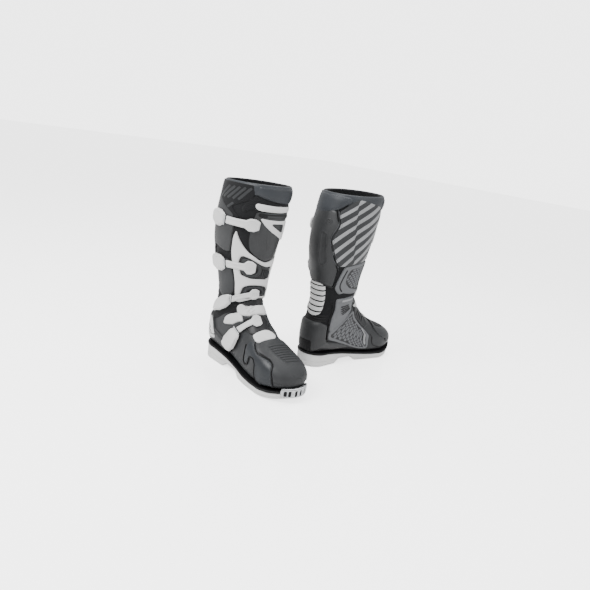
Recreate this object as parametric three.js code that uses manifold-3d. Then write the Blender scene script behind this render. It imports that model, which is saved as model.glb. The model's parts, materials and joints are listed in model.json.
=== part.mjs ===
// A pair of motocross boots: a right and a left boot, mirror images, standing flat on their soles.
// Millimetres, +Z up. The right boot's toe points along -Y and the left boot's along +X.
// A boot's own frame: x outwards on the right foot, y from heel to toe, z up from the floor.
// Every shell, panel and strap lies on one master surface, at its own distance from it.
// A place on that surface is (s, phi): s runs from the toe over the ankle to the collar, and phi
// goes round the boot in degrees, 0 at the front or top, 90 on the outer side, 180 at the back or sole.

import * as THREE from 'three';
import Module from 'manifold-3d';

const wasm = await Module();
wasm.setup();

// ---------------------------------------------------------------- driving dimensions

// One section of the master surface per line: s, front point y z, back point y z,
// outer and inner half-width, and the squareness of the front and back halves.
const SECTIONS = [
  [0, 314, 50, 314, 37, 5, 5, 2.2, 2.4],
  [6, 308, 62, 310, 30, 26, 26, 2.2, 2.8],
  [18, 297, 71, 301, 27, 38, 37, 2.2, 3.5],
  [40, 277, 80, 281, 23, 48, 46, 2.3, 5],
  [70, 249, 90, 251, 20, 54, 50, 2.3, 6],
  [100, 223, 102, 221, 20, 54, 48, 2.2, 6],
  [130, 199, 117, 189, 22, 50, 43, 2.1, 6],
  [160, 179, 134, 151, 26, 45, 38, 2, 5],
  [185, 165, 150, 108, 32, 41, 37, 2, 4],
  [205, 156, 163, 57, 37, 40, 38, 2, 3.2],
  [225, 151, 173, 12, 40, 41, 39, 2, 2.6],
  [245, 148, 184, 7, 72, 43, 41, 2, 2.4],
  [265, 146, 195, 10, 106, 46, 45, 2, 2.3],
  [285, 145, 206, 20, 138, 47, 46, 2.1, 2.2],
  [305, 145, 219, 22, 166, 47, 46, 2.1, 2.2],
  [330, 147, 240, 17, 201, 50, 48, 2.1, 2.2],
  [360, 151, 267, 8, 238, 56, 53, 2.1, 2.2],
  [390, 155, 295, 0, 276, 61, 58, 2.1, 2.2],
  [420, 160, 325, -3, 314, 65, 62, 2.1, 2.2],
  [450, 165, 355, -2, 351, 67, 64, 2.1, 2.2],
  [480, 170, 385, 4, 384, 68, 65, 2.1, 2.2],
  [510, 174, 419, 11, 414, 68, 65, 2.1, 2.2],
  [530, 176, 440, 14, 435, 67, 64, 2.1, 2.2],
];

// Rings of the shells, from the toe to the collar: s at the front, at the sides and at the back.
const RINGS = [
  [0, 0, 0], [6, 6, 6], [18, 18, 18], [40, 40, 40], [70, 70, 70], [100, 100, 100], [130, 130, 130],
  [152, 158, 164], [163, 182, 190], [170, 200, 207], [175, 217, 225], [178, 231, 245], [181, 243, 266],
  [196, 248, 284], [211, 253, 302], [226, 258, 320], [241, 263, 338],
  [268, 285, 352], [300, 312, 368], [340, 345, 385], [410, 410, 410], [450, 450, 450], [490, 490, 490],
  [510, 510, 510], [530, 530, 530],
];
const FOOT_RIM = 12;
const CUFF_RIM = 16;
const COLLAR_RIM = 23;
const TOP_RIM = 24;
const AROUND = 16;

// Distances of the layers from the master surface, inner face then outer face.
const INSOLE = [-12.5, -9];
const LINER = [-7.8, -4.8];
const SHELL = [-3.2, 0];
const PANEL = [1.7, 3.5];
const FRAME = [1.4, 4];
const CUP = [1.6, 3.6];
const HEEL_CUP = [3.6, 5.4];
const TRIM = [5, 6.2];
const BELLOWS = [1.4, 5];

// The sole: half-widths along the boot, between a round heel and a round toe.
const HEEL = { y: 45, length: 41, outer: 39, inner: 38 };
const TOE = { y: 250, length: 68, outer: 59, inner: 55 };
const WAIST = [[45, 39, 38], [100, 40, 35], [150, 45, 37], [200, 55, 46], [250, 59, 55]];
const SOLE_TOP = [
  [0, 38.5], [60, 36.5], [108, 31.5], [151, 25.5], [189, 21.5],
  [221, 19.5], [251, 19.5], [281, 22], [301, 25.5], [318, 29],
];
const WELT = { thick: 5, proud: 1.5, gap: 0.5 };
const HEEL_BLOCK_END = 97;
const ARCH = { start: 102, end: 158, height: 12 };
const FOREFOOT_START = 164;
const SPRING = { start: 240, height: 12 };
const SHANK = { start: 72, end: 198, halfWidth: 14, thick: 1.8, depth: 2.8, clearance: 0.4 };
const TOE_PLATE = { sweep: 38, gap: 1.1, thick: 1.8, bottom: 14, top: 32 };

// Buckles: where the strap's head is fixed, where the lever is hinged and ends, and half-widths.
const BUCKLES = [
  { head: [446, 28], hinge: [448, 89], tip: [450, 131], headHalf: 14, strapHalf: 8, leverHalf: 17 },
  { head: [345, 21], hinge: [357, 85], tip: [362, 128], headHalf: 17, strapHalf: 8, leverHalf: 17 },
  { head: [258, 4], hinge: [267, 67], tip: [273, 112], headHalf: 21, strapHalf: 9, leverHalf: 17 },
  { head: [164, 10], hinge: [186, 76], tip: [191, 115], headHalf: 16, strapHalf: 7, leverHalf: 13 },
];
const HEAD_LAYER = [4.8, 8.2];
const STRAP_LAYER = [5.2, 7.6];
const LEVER_LAYER = [5.2, 9.6];
const LEVER_HINGE_LEVEL = 8.4;
const HEAD_HINGE_LEVEL = 6.5;
const HINGE_GAP = 1;

// Where the boots stand: a point of the ankle line on the floor, and the way the toe points.
const RIGHT_PLACE = { x: 0, y: 150, turn: 180 };
const LEFT_PLACE = { x: 153, y: -9, turn: -90 };

// ---------------------------------------------------------------- the master surface

const lerp = THREE.MathUtils.lerp;
const radians = THREE.MathUtils.degToRad;

// Straight-line lookup in a table whose first column rises.
function lookup(table, x) {
  let i = 1;
  while (i < table.length - 1 && table[i][0] < x) i += 1;
  const [low, high] = [table[i - 1], table[i]];
  const t = THREE.MathUtils.clamp((x - low[0]) / (high[0] - low[0]), 0, 1);
  return low.slice(1).map((value, k) => lerp(value, high[k + 1], t));
}

// A point at a distance from the master surface. Near the toe's tip a layer also moves along the boot.
function skin(s, phi, distance) {
  const along = Math.max(0, s - distance * Math.max(0, 1 - s / 40));
  const [fy, fz, by, bz, outer, inner, nFront, nBack] = lookup(SECTIONS, along);
  const half = Math.hypot(fy - by, fz - bz) / 2;
  const sine = Math.sin(radians(phi));
  const cosine = Math.cos(radians(phi));
  const power = 2 / (cosine >= 0 ? nFront : nBack);
  const width = (sine >= 0 ? outer : inner) + distance;
  const x = width * Math.sign(sine) * Math.abs(sine) ** power;
  const q = (half + distance) * Math.sign(cosine) * Math.abs(cosine) ** power;
  const y = (fy + by) / 2 + (q * (fy - by)) / (2 * half);
  const z = (fz + bz) / 2 + (q * (fz - bz)) / (2 * half);
  return new THREE.Vector3(x, y, z);
}

// s on a ring, where k may lie between two rings.
function ring(k, phi) {
  const low = Math.min(Math.floor(k), RINGS.length - 2);
  const [front, side, back] = RINGS[low].map((value, i) => lerp(value, RINGS[low + 1][i], k - low));
  const cosine = Math.cos(radians(phi));
  return side + ((cosine >= 0 ? front : back) - side) * cosine * cosine;
}

// ---------------------------------------------------------------- solids

// One closed body from points and faces, turned so that its faces point out.
function solid(points, faces) {
  let volume = 0;
  for (const [a, b, c] of faces) {
    volume += points[a].dot(new THREE.Vector3().crossVectors(points[b], points[c]));
  }
  const index = volume > 0 ? faces.flat() : faces.map(([a, b, c]) => [a, c, b]).flat();
  const geometry = new THREE.BufferGeometry();
  const numbers = points.flatMap((p) => [p.x, p.y, p.z]);
  geometry.setAttribute('position', new THREE.Float32BufferAttribute(numbers, 3));
  geometry.setIndex(index);
  return geometry;
}

function quad(faces, a, b, c, d) {
  faces.push([a, b, c], [a, c, d]);
}

// A hollow shell between two rings: closed over the toe if it starts there, or else open at both ends.
function tube(rings, [inner, outer], closedToe) {
  const points = [];
  const faces = [];
  for (const distance of [outer, inner]) {
    for (const k of rings) {
      for (let j = 0; j < AROUND; j += 1) {
        const phi = (360 * j) / AROUND;
        points.push(skin(ring(k, phi), phi, distance));
      }
    }
  }
  const at = (layer, i, j) => (layer * rings.length + i) * AROUND + (j % AROUND);
  for (let j = 0; j < AROUND; j += 1) {
    for (let i = 0; i + 1 < rings.length; i += 1) {
      quad(faces, at(0, i, j), at(0, i + 1, j), at(0, i + 1, j + 1), at(0, i, j + 1));
      quad(faces, at(1, i, j), at(1, i, j + 1), at(1, i + 1, j + 1), at(1, i + 1, j));
    }
    const end = rings.length - 1;
    quad(faces, at(0, end, j), at(1, end, j), at(1, end, j + 1), at(0, end, j + 1));
    if (!closedToe) quad(faces, at(0, 0, j), at(0, 0, j + 1), at(1, 0, j + 1), at(1, 0, j));
  }
  if (closedToe) {
    for (let j = 1; j + 1 < AROUND; j += 1) {
      faces.push([at(0, 0, 0), at(0, 0, j), at(0, 0, j + 1)]);
      faces.push([at(1, 0, 0), at(1, 0, j + 1), at(1, 0, j)]);
    }
  }
  return solid(points, faces);
}

// A plate on the surface: place(i, j) gives [s, phi], and has(i, j) says which cells are there.
// inner and outer are distances, or one distance per row.
function plate(rows, columns, place, [inner, outer], has = () => true) {
  const points = [];
  const faces = [];
  const index = new Map();
  const level = (layer, i) => {
    const value = layer ? inner : outer;
    return Array.isArray(value) ? value[i] : value;
  };
  const at = (layer, i, j) => {
    const key = `${layer},${i},${j}`;
    if (!index.has(key)) {
      index.set(key, points.length);
      points.push(skin(...place(i, j), level(layer, i)));
    }
    return index.get(key);
  };
  const there = (i, j) => i >= 0 && j >= 0 && i < rows && j < columns && has(i, j);
  const wall = (a, b) => quad(faces, at(0, ...a), at(1, ...a), at(1, ...b), at(0, ...b));
  for (let i = 0; i < rows; i += 1) {
    for (let j = 0; j < columns; j += 1) {
      if (!there(i, j)) continue;
      quad(faces, at(0, i, j), at(0, i + 1, j), at(0, i + 1, j + 1), at(0, i, j + 1));
      quad(faces, at(1, i, j), at(1, i, j + 1), at(1, i + 1, j + 1), at(1, i + 1, j));
      if (!there(i - 1, j)) wall([i, j + 1], [i, j]);
      if (!there(i + 1, j)) wall([i + 1, j], [i + 1, j + 1]);
      if (!there(i, j - 1)) wall([i, j], [i + 1, j]);
      if (!there(i, j + 1)) wall([i + 1, j + 1], [i, j + 1]);
    }
  }
  return solid(points, faces);
}

// A plate ruled between its two side edges: one [s, phi, s, phi] per row.
function ruled(edges, columns, layer) {
  const place = (i, j) => {
    const [sa, a, sb, b] = edges[i];
    return [lerp(sa, sb, j / columns), lerp(a, b, j / columns)];
  };
  return plate(edges.length - 1, columns, place, layer);
}

// A plate hung between its lower and upper edges: one [phi, lower s, upper s] per column.
function hung(columns, rows, layer) {
  const place = (i, j) => {
    const [phi, lower, upper] = columns[j];
    return [lerp(upper, lower, i / rows), phi];
  };
  return plate(rows, columns.length - 1, place, layer);
}

// A closed body through rings of points, with flat ends.
function loft(sections) {
  const count = sections[0].length;
  const points = sections.flat();
  const faces = [];
  const at = (i, j) => i * count + (j % count);
  for (let i = 0; i + 1 < sections.length; i += 1) {
    for (let j = 0; j < count; j += 1) {
      quad(faces, at(i, j), at(i + 1, j), at(i + 1, j + 1), at(i, j + 1));
    }
  }
  const last = sections.length - 1;
  for (let j = 1; j + 1 < count; j += 1) {
    faces.push([at(0, 0), at(0, j), at(0, j + 1)]);
    faces.push([at(last, 0), at(last, j + 1), at(last, j)]);
  }
  return solid(points, faces);
}

function manifold(geometry) {
  const vertProperties = new Float32Array(geometry.attributes.position.array);
  const triVerts = new Uint32Array(geometry.index.array);
  return new wasm.Manifold(new wasm.Mesh({ numProp: 3, vertProperties, triVerts }));
}

function subtract(body, tool) {
  const mesh = manifold(body).subtract(manifold(tool)).getMesh();
  const geometry = new THREE.BufferGeometry();
  geometry.setAttribute('position', new THREE.Float32BufferAttribute(mesh.vertProperties, 3));
  geometry.setIndex(Array.from(mesh.triVerts));
  return geometry;
}

// ---------------------------------------------------------------- the sole

const soleTop = (y) => lookup(SOLE_TOP, y)[0];

// Half-width of the sole at y, on the outer or the inner side.
function soleHalf(y, side) {
  if (y < HEEL.y) return HEEL[side] * Math.sqrt(Math.max(0, 1 - ((HEEL.y - y) / HEEL.length) ** 2));
  if (y > TOE.y) return TOE[side] * Math.sqrt(Math.max(0, 1 - ((y - TOE.y) / TOE.length) ** 2));
  return lookup(WAIST, y)[side === 'outer' ? 0 : 1];
}

function soleBottom(y) {
  if (y > HEEL_BLOCK_END && y < FOREFOOT_START) {
    const behind = (y - HEEL_BLOCK_END) / (ARCH.start - HEEL_BLOCK_END);
    const ahead = (FOREFOOT_START - y) / (FOREFOOT_START - ARCH.end);
    const rise = Math.min(behind, ahead, 1);
    return ARCH.height * rise;
  }
  const reach = (y - SPRING.start) / (TOE.y + TOE.length - SPRING.start);
  return y > SPRING.start ? SPRING.height * reach * reach : 0;
}

const SOLE_STATIONS = [
  ...[12, 35, 60, 90].map((turn) => HEEL.y - HEEL.length * Math.cos(radians(turn))),
  70, HEEL_BLOCK_END, ARCH.start, 130, ARCH.end, FOREFOOT_START, 200, SPRING.start, TOE.y,
  ...[22, 40, 57, 72, 83].map((turn) => TOE.y + TOE.length * Math.sin(radians(turn))),
];

// A slab of the sole's outline, from one height to another, standing proud of it all round.
function slab(top, bottom, proud) {
  return loft(SOLE_STATIONS.map((y) => {
    const outer = soleHalf(y, 'outer') + proud;
    const inner = -soleHalf(y, 'inner') - proud;
    const shift = y < HEEL.y ? -proud : y > TOE.y ? proud : 0;
    const corner = (x, z) => new THREE.Vector3(x, y + shift, z);
    return [corner(inner, top(y)), corner(outer, top(y)), corner(outer, bottom(y)), corner(inner, bottom(y))];
  }));
}

const outsoleTop = (y) => soleTop(y) - WELT.gap - WELT.thick - 0.6;

// A strip down the middle of the arch, following the top of the outsole.
function archStrip(start, end, halfWidth, over, under) {
  return loft([start, 108, 151, end].map((y) => {
    const corner = (x, z) => new THREE.Vector3(x, y, outsoleTop(y) + z);
    return [
      corner(-halfWidth, over), corner(halfWidth, over),
      corner(halfWidth, under), corner(-halfWidth, under),
    ];
  }));
}

function outsole() {
  const { start, end, halfWidth, depth, clearance } = SHANK;
  const recess = archStrip(start - clearance, end + clearance, halfWidth + clearance, 5, -depth);
  return subtract(slab(outsoleTop, soleBottom, 0), recess);
}

const welt = () => slab((y) => soleTop(y) - WELT.gap, (y) => soleTop(y) - WELT.gap - WELT.thick, WELT.proud);

function shank() {
  const under = SHANK.clearance - SHANK.depth;
  return archStrip(SHANK.start, SHANK.end, SHANK.halfWidth, under + SHANK.thick, under);
}

// The steel plate bent round the front of the toe, over the edges of the outsole and the welt.
function toePlate() {
  const { sweep, gap, thick, bottom, top } = TOE_PLATE;
  const start = WELT.proud + gap;
  const turns = [-1, -0.75, -0.5, -0.25, 0, 0.25, 0.5, 0.75, 1].map((part) => radians(90 - part * sweep));
  return loft(turns.map((turn) => {
    const across = Math.cos(turn) > 0 ? TOE.outer : TOE.inner;
    const edge = new THREE.Vector2(across * Math.cos(turn), TOE.length * Math.sin(turn));
    const normal = new THREE.Vector2(Math.cos(turn) / across, Math.sin(turn) / TOE.length).normalize();
    const corner = (out, z) => new THREE.Vector3(edge.x + normal.x * out, TOE.y + edge.y + normal.y * out, z);
    return [
      corner(start, top), corner(start + thick, top),
      corner(start + thick, bottom), corner(start, bottom),
    ];
  }));
}

// ---------------------------------------------------------------- plates on the foot and ankle

const toeCap = () => ruled([
  [100, 52, 100, -62], [70, 54, 70, -80], [40, 68, 40, -90], [18, 92, 18, -96], [10, 96, 10, -98],
], 12, CUP);

const insole = () => ruled([
  [205, 142, 205, 218], [185, 142, 185, 218], [160, 142, 160, 218], [130, 142, 130, 218],
  [100, 142, 100, 218], [70, 142, 70, 218], [40, 145, 40, 215],
], 4, INSOLE);

// The cup round the heel stands on the welt, and its lower edge curves round the back.
const heelCounter = () => hung([
  [127, 190, 240], [132, 194, 245], [140, 201, 251], [150, 212, 257], [164, 222, 262], [180, 227, 264],
  [196, 222, 262], [210, 212, 257], [222, 199, 250], [232, 190, 242], [240, 184, 234],
], 7, HEEL_CUP);

const gripFoot = () => ruled([
  [238, -113, 214, -54], [222, -112, 206, -56], [206, -113, 196, -64],
  [178, -115, 174, -70], [150, -118, 146, -77], [122, -110, 122, -90],
], 5, PANEL);

const gripAnkle = () => ruled([
  [306, -121, 286, -64], [288, -117, 268, -60], [268, -115, 246, -56], [246, -114, 222, -52],
], 5, PANEL);

// A plate that bridges the ankle between the foot's rim and the cuff's rim.
function bridge(low, high, from, to, columns, layer) {
  const rows = 4;
  const place = (i, j) => {
    const phi = lerp(from, to, j / columns);
    return [ring(lerp(high, low, i / rows), phi), phi];
  };
  return plate(rows, columns, place, layer);
}

const frontFlex = () => bridge(FOOT_RIM + 0.15, CUFF_RIM - 0.1, 56, -38, 7, PANEL);
const bellows = () => bridge(FOOT_RIM + 1, CUFF_RIM + 0.15, 151, 209, 5, BELLOWS);

// ---------------------------------------------------------------- plates on the cuff

const shinPlate = () => hung([
  [36, 390, 476], [20, 372, 478], [2, 363, 478], [-14, 367, 478], [-30, 373, 478], [-43, 380, 474],
], 4, PANEL);

// An open frame on the shin plate, in front of its vents.
const shinVent = () => plate(3, 6, (i, j) => {
  const s = [468, 460, 428, 418][i];
  const [left, right] = [[29, -27], [28, -28], [12, -32], [2, -34]][i];
  return [s, lerp(left, right, [0, 0.14, 0.32, 0.5, 0.68, 0.86, 1][j])];
}, TRIM, (i, j) => i !== 1 || j === 0 || j === 5);

// The light frame: a spear on the outer side, an edge under the shin plate and a band across the shin.
function frontFrame() {
  const s = [
    [426, 426, 426, 426, 426, 426, 426],
    [384, 382, 371, 363, 357, 361, 367],
    [366, 362, 359, 352, 348, 351, 357],
    [316, 322, 318, 314, 312, 314, 318],
    [294, 298, 296, 294, 292, 292, 292],
    [262, 260, 260, 260, 260, 260, 260],
  ];
  const phi = [
    [68, 65, 60, 50, 40, 30, 20], [72, 44, 33, 18, 2, -15, -34], [71, 54, 36, 20, 2, -15, -34],
    [66, 57, 40, 22, 2, -16, -36], [64, 47, 36, 20, 2, -16, -36], [57, 44, 36, 20, 2, -16, -36],
  ];
  const there = (i, j) => j === 0 || i === 1 || i === 3;
  return plate(5, 6, (i, j) => [s[i][j], phi[i][j]], FRAME, there);
}

const calfPlate = () => hung([
  [74, 385, 464], [86, 385, 470], [100, 388, 480], [116, 396, 492], [132, 374, 502], [148, 352, 500],
  [164, 343, 498], [180, 343, 496], [196, 343, 494], [208, 342, 484], [218, 340, 468],
], 8, PANEL);

const medialPanel = () => hung([
  [-138, 394, 506], [-124, 386, 516], [-108, 382, 516], [-92, 380, 513],
  [-76, 380, 508], [-60, 380, 502], [-47, 382, 484],
], 4, PANEL);

const gripUpper = () => ruled([
  [376, -112, 377, -48], [352, -122, 352, -48], [332, -130, 324, -49], [317, -118, 296, -52],
], 6, FRAME);

// ---------------------------------------------------------------- buckles

// A strip along the surface from one place to another: one [part of the way, half-width] per row.
function strip(from, to, rows, layer) {
  const columns = 2;
  const place = (i, j) => {
    const [t, half] = rows[i];
    return [lerp(from[0], to[0], t) + half * (1 - j), lerp(from[1], to[1], t)];
  };
  return plate(rows.length - 1, columns, place, layer);
}

function strapBody({ head, hinge, headHalf, strapHalf }) {
  const [under, over] = HEAD_LAYER;
  const [low, high] = STRAP_LAYER;
  const rows = [
    [0, headHalf * 0.65], [0.1, headHalf], [0.3, headHalf],
    [0.42, strapHalf], [0.62, strapHalf], [0.82, strapHalf], [1, strapHalf],
  ];
  const inner = [under, under, under, low, low, low, low];
  const outer = [over, over, over, high, high, high, high];
  return strip(head, hinge, rows, [inner, outer]);
}

function leverBody({ hinge, tip, leverHalf, strapHalf }) {
  const [inner, outer] = LEVER_LAYER;
  const waist = strapHalf + 3;
  const rows = [
    [0, waist], [0.16, leverHalf], [0.55, leverHalf], [0.8, leverHalf * 0.82], [1, leverHalf * 0.5],
  ];
  return strip(hinge, tip, rows, [inner, [LEVER_HINGE_LEVEL - 0.4, outer, outer, outer, outer - 2]]);
}

// The hinge line across a strip at one place: a point on it and its direction, up the boot.
function hingeLine([s, phi], level) {
  const point = skin(s, phi, level);
  const axis = skin(s + 5, phi, level).sub(skin(s - 5, phi, level)).normalize();
  return { point, axis };
}

// How many degrees of phi make one millimetre round the boot at a place.
const degreesPerMm = ([s, phi], level) => 1 / skin(s, phi + 1, level).distanceTo(skin(s, phi, level));

// ---------------------------------------------------------------- one boot

const MATERIALS = {
  shell: { color: 0x4b4d50, roughness: 0.5, metalness: 0 },
  textile: { color: 0x36383b, roughness: 0.85, metalness: 0 },
  collar: { color: 0x6d747c, roughness: 0.6, metalness: 0 },
  panel: { color: 0x54565a, roughness: 0.45, metalness: 0 },
  stripes: { color: 0x9a9c9f, roughness: 0.5, metalness: 0 },
  grip: { color: 0x808387, roughness: 0.75, metalness: 0 },
  white: { color: 0xf2f2f0, roughness: 0.4, metalness: 0 },
  sole: { color: 0xf4f4f2, roughness: 0.55, metalness: 0 },
  black: { color: 0x121314, roughness: 0.7, metalness: 0 },
  steel: { color: 0xc8cacc, roughness: 0.2, metalness: 1 },
  foam: { color: 0x2a2c2f, roughness: 0.9, metalness: 0 },
};

const span = (from, to) => Array.from({ length: to - from + 1 }, (_, i) => from + i);

const PIECES = {
  outsole: [outsole, 'sole'],
  welt: [welt, 'black'],
  shank: [shank, 'steel'],
  toe_plate: [toePlate, 'steel'],
  insole: [insole, 'foam'],
  foot_shell: [() => tube(span(0, FOOT_RIM), SHELL, true), 'shell'],
  toe_cap: [toeCap, 'shell'],
  heel_counter: [heelCounter, 'panel'],
  grip_foot: [gripFoot, 'grip'],
  grip_ankle: [gripAnkle, 'grip'],
  front_flex: [frontFlex, 'white'],
  achilles_bellows: [bellows, 'white'],
  ankle_sleeve: [() => tube([FOOT_RIM + 0.08, 13, 14, 15, CUFF_RIM - 0.08], SHELL, false), 'textile'],
  liner: [() => tube([...span(1, 19), 21, COLLAR_RIM, TOP_RIM], LINER, true), 'foam'],
  calf_shell: [() => tube([...span(CUFF_RIM, 22), COLLAR_RIM - 0.04], SHELL, false), 'textile'],
  collar: [() => tube([COLLAR_RIM, TOP_RIM], SHELL, false), 'collar'],
  shin_plate: [shinPlate, 'shell'],
  shin_vent: [shinVent, 'white'],
  front_frame: [frontFrame, 'white'],
  calf_plate: [calfPlate, 'panel'],
  medial_panel: [medialPanel, 'stripes'],
  grip_upper: [gripUpper, 'grip'],
};

function addPiece(boot, name, geometry, material, mirrored) {
  if (mirrored) {
    geometry.scale(-1, 1, 1);
    const index = geometry.index.array;
    for (let i = 0; i < index.length; i += 3) [index[i], index[i + 1]] = [index[i + 1], index[i]];
  }
  const mesh = new THREE.Mesh(geometry, new THREE.MeshStandardMaterial(MATERIALS[material]));
  mesh.name = name;
  boot.add(mesh);
  return mesh;
}

function makeBoot(side, mirrored, place) {
  const boot = new THREE.Group();
  for (const [name, [build, material]] of Object.entries(PIECES)) {
    addPiece(boot, `${side}_${name}`, build(), material, mirrored);
  }
  BUCKLES.forEach((buckle, i) => {
    const [s, phi] = buckle.hinge;
    const gap = HINGE_GAP * degreesPerMm(buckle.hinge, LEVER_HINGE_LEVEL);
    const strapEnd = { ...buckle, hinge: [s, phi - gap] };
    const leverStart = { ...buckle, hinge: [s, phi + gap] };
    const strap = addPiece(boot, `${side}_strap_${i + 1}`, strapBody(strapEnd), 'white', mirrored);
    const lever = addPiece(boot, `${side}_lever_${i + 1}`, leverBody(leverStart), 'white', mirrored);
    strap.userData.hinge = hingeLine(buckle.head, HEAD_HINGE_LEVEL);
    lever.userData.hinge = hingeLine(buckle.hinge, LEVER_HINGE_LEVEL);
  });
  boot.position.set(place.x, place.y, 0);
  boot.rotation.z = radians(place.turn);
  return boot;
}

// Both boots, moved so that the origin is on the floor in the middle of the pair.
const boots = new THREE.Group();
boots.add(makeBoot('right', false, RIGHT_PLACE), makeBoot('left', true, LEFT_PLACE));
const middle = new THREE.Box3().setFromObject(boots, true).getCenter(new THREE.Vector3());
boots.position.set(-middle.x, -middle.y, 0);

export default boots;
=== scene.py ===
"""The looks of a pair of motocross boots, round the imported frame. Millimetres until place()."""
import json
import math

import bpy
import numpy as np
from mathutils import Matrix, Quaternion, Vector
from mathutils.geometry import delaunay_2d_cdt


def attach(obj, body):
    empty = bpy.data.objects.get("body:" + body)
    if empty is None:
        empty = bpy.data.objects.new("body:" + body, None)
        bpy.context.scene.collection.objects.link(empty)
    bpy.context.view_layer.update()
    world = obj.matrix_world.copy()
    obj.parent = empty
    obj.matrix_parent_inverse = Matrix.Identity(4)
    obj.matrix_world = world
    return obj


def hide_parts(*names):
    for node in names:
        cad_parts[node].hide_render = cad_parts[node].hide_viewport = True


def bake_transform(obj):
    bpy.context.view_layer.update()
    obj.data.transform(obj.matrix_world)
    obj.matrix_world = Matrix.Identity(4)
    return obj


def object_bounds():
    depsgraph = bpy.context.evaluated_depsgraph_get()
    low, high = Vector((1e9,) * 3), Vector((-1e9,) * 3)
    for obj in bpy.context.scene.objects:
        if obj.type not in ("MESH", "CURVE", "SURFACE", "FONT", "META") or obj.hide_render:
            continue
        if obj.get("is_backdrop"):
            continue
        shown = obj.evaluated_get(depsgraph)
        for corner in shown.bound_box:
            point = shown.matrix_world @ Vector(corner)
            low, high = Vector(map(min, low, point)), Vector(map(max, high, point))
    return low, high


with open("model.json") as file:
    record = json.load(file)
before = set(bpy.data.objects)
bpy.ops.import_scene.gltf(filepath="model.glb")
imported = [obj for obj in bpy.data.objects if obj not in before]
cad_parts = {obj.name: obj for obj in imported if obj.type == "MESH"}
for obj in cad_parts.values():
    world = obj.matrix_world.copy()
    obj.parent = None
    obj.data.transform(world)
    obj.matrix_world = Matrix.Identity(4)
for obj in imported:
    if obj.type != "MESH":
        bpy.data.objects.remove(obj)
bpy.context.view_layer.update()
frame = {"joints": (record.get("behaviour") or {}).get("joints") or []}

# ---------------------------------------------------------------- the master surface

# One section per line: s, front point y z, back point y z, outer and inner half-width, squareness.
SECTIONS = np.array([
    [0, 314, 50, 314, 37, 5, 5, 2.2, 2.4],
    [6, 308, 62, 310, 30, 26, 26, 2.2, 2.8],
    [18, 297, 71, 301, 27, 38, 37, 2.2, 3.5],
    [40, 277, 80, 281, 23, 48, 46, 2.3, 5],
    [70, 249, 90, 251, 20, 54, 50, 2.3, 6],
    [100, 223, 102, 221, 20, 54, 48, 2.2, 6],
    [130, 199, 117, 189, 22, 50, 43, 2.1, 6],
    [160, 179, 134, 151, 26, 45, 38, 2, 5],
    [185, 165, 150, 108, 32, 41, 37, 2, 4],
    [205, 156, 163, 57, 37, 40, 38, 2, 3.2],
    [225, 151, 173, 12, 40, 41, 39, 2, 2.6],
    [245, 148, 184, 7, 72, 43, 41, 2, 2.4],
    [265, 146, 195, 10, 106, 46, 45, 2, 2.3],
    [285, 145, 206, 20, 138, 47, 46, 2.1, 2.2],
    [305, 145, 219, 22, 166, 47, 46, 2.1, 2.2],
    [330, 147, 240, 17, 201, 50, 48, 2.1, 2.2],
    [360, 151, 267, 8, 238, 56, 53, 2.1, 2.2],
    [390, 155, 295, 0, 276, 61, 58, 2.1, 2.2],
    [420, 160, 325, -3, 314, 65, 62, 2.1, 2.2],
    [450, 165, 355, -2, 351, 67, 64, 2.1, 2.2],
    [480, 170, 385, 4, 384, 68, 65, 2.1, 2.2],
    [510, 174, 419, 11, 414, 68, 65, 2.1, 2.2],
    [530, 176, 440, 14, 435, 67, 64, 2.1, 2.2],
], float)

# The rims of the foot shell and the cuff: s at the front, at the sides and at the back.
FOOT_RIM = (181, 243, 266)
CUFF_RIM = (241, 263, 338)
TOP = 530
COLLAR_LOW = 508
ANKLE = (82, 125)


def smooth_slopes(x, y):
    """Slopes of a curve through the table that doesn't overshoot it."""
    step = np.diff(x)[:, None]
    rate = np.diff(y, axis=0) / step
    slopes = np.zeros_like(y)
    same = rate[:-1] * rate[1:] > 0
    mean = 2 * rate[:-1] * rate[1:] / np.where(same, rate[:-1] + rate[1:], 1)
    slopes[1:-1] = np.where(same, mean, 0)
    slopes[0], slopes[-1] = rate[0], rate[-1]
    return slopes


KNOTS = SECTIONS[:, 0]
VALUES = SECTIONS[:, 1:]
SLOPES = smooth_slopes(KNOTS, VALUES)


def section(s):
    """The section's eight numbers at each s."""
    i = np.clip(np.searchsorted(KNOTS, s, side="right") - 1, 0, len(KNOTS) - 2)
    width = (KNOTS[i + 1] - KNOTS[i])[:, None]
    t = np.clip(((s - KNOTS[i])[:, None]) / width, 0, None)
    a, b = VALUES[i], VALUES[i + 1]
    ma, mb = SLOPES[i] * width, SLOPES[i + 1] * width
    curve = (2 * t**3 - 3 * t**2 + 1) * a + (t**3 - 2 * t**2 + t) * ma
    curve += (3 * t**2 - 2 * t**3) * b + (t**3 - t**2) * mb
    beyond = b + mb * (t - 1)
    return np.where(t > 1, beyond, curve).T


def skin(s, phi, distance):
    """Points at a distance from the master surface, as an array of x, y, z."""
    s, phi, distance = np.broadcast_arrays(*(np.asarray(v, float) for v in (s, phi, distance)))
    along = np.maximum(0, s - distance * np.maximum(0, 1 - s / 40))
    fy, fz, by, bz, outer, inner, n_front, n_back = section(along.ravel())
    along_shape = s.shape
    sine, cosine = np.sin(np.radians(phi.ravel())), np.cos(np.radians(phi.ravel()))
    half = np.hypot(fy - by, fz - bz) / 2
    power = 2 / np.where(cosine >= 0, n_front, n_back)
    d = distance.ravel()
    x = (np.where(sine >= 0, outer, inner) + d) * np.sign(sine) * np.abs(sine) ** power
    q = (half + d) * np.sign(cosine) * np.abs(cosine) ** power
    y = (fy + by) / 2 + q * (fy - by) / (2 * half)
    z = (fz + bz) / 2 + q * (fz - bz) / (2 * half)
    return np.stack([x, y, z], -1).reshape(*along_shape, 3)


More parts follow.
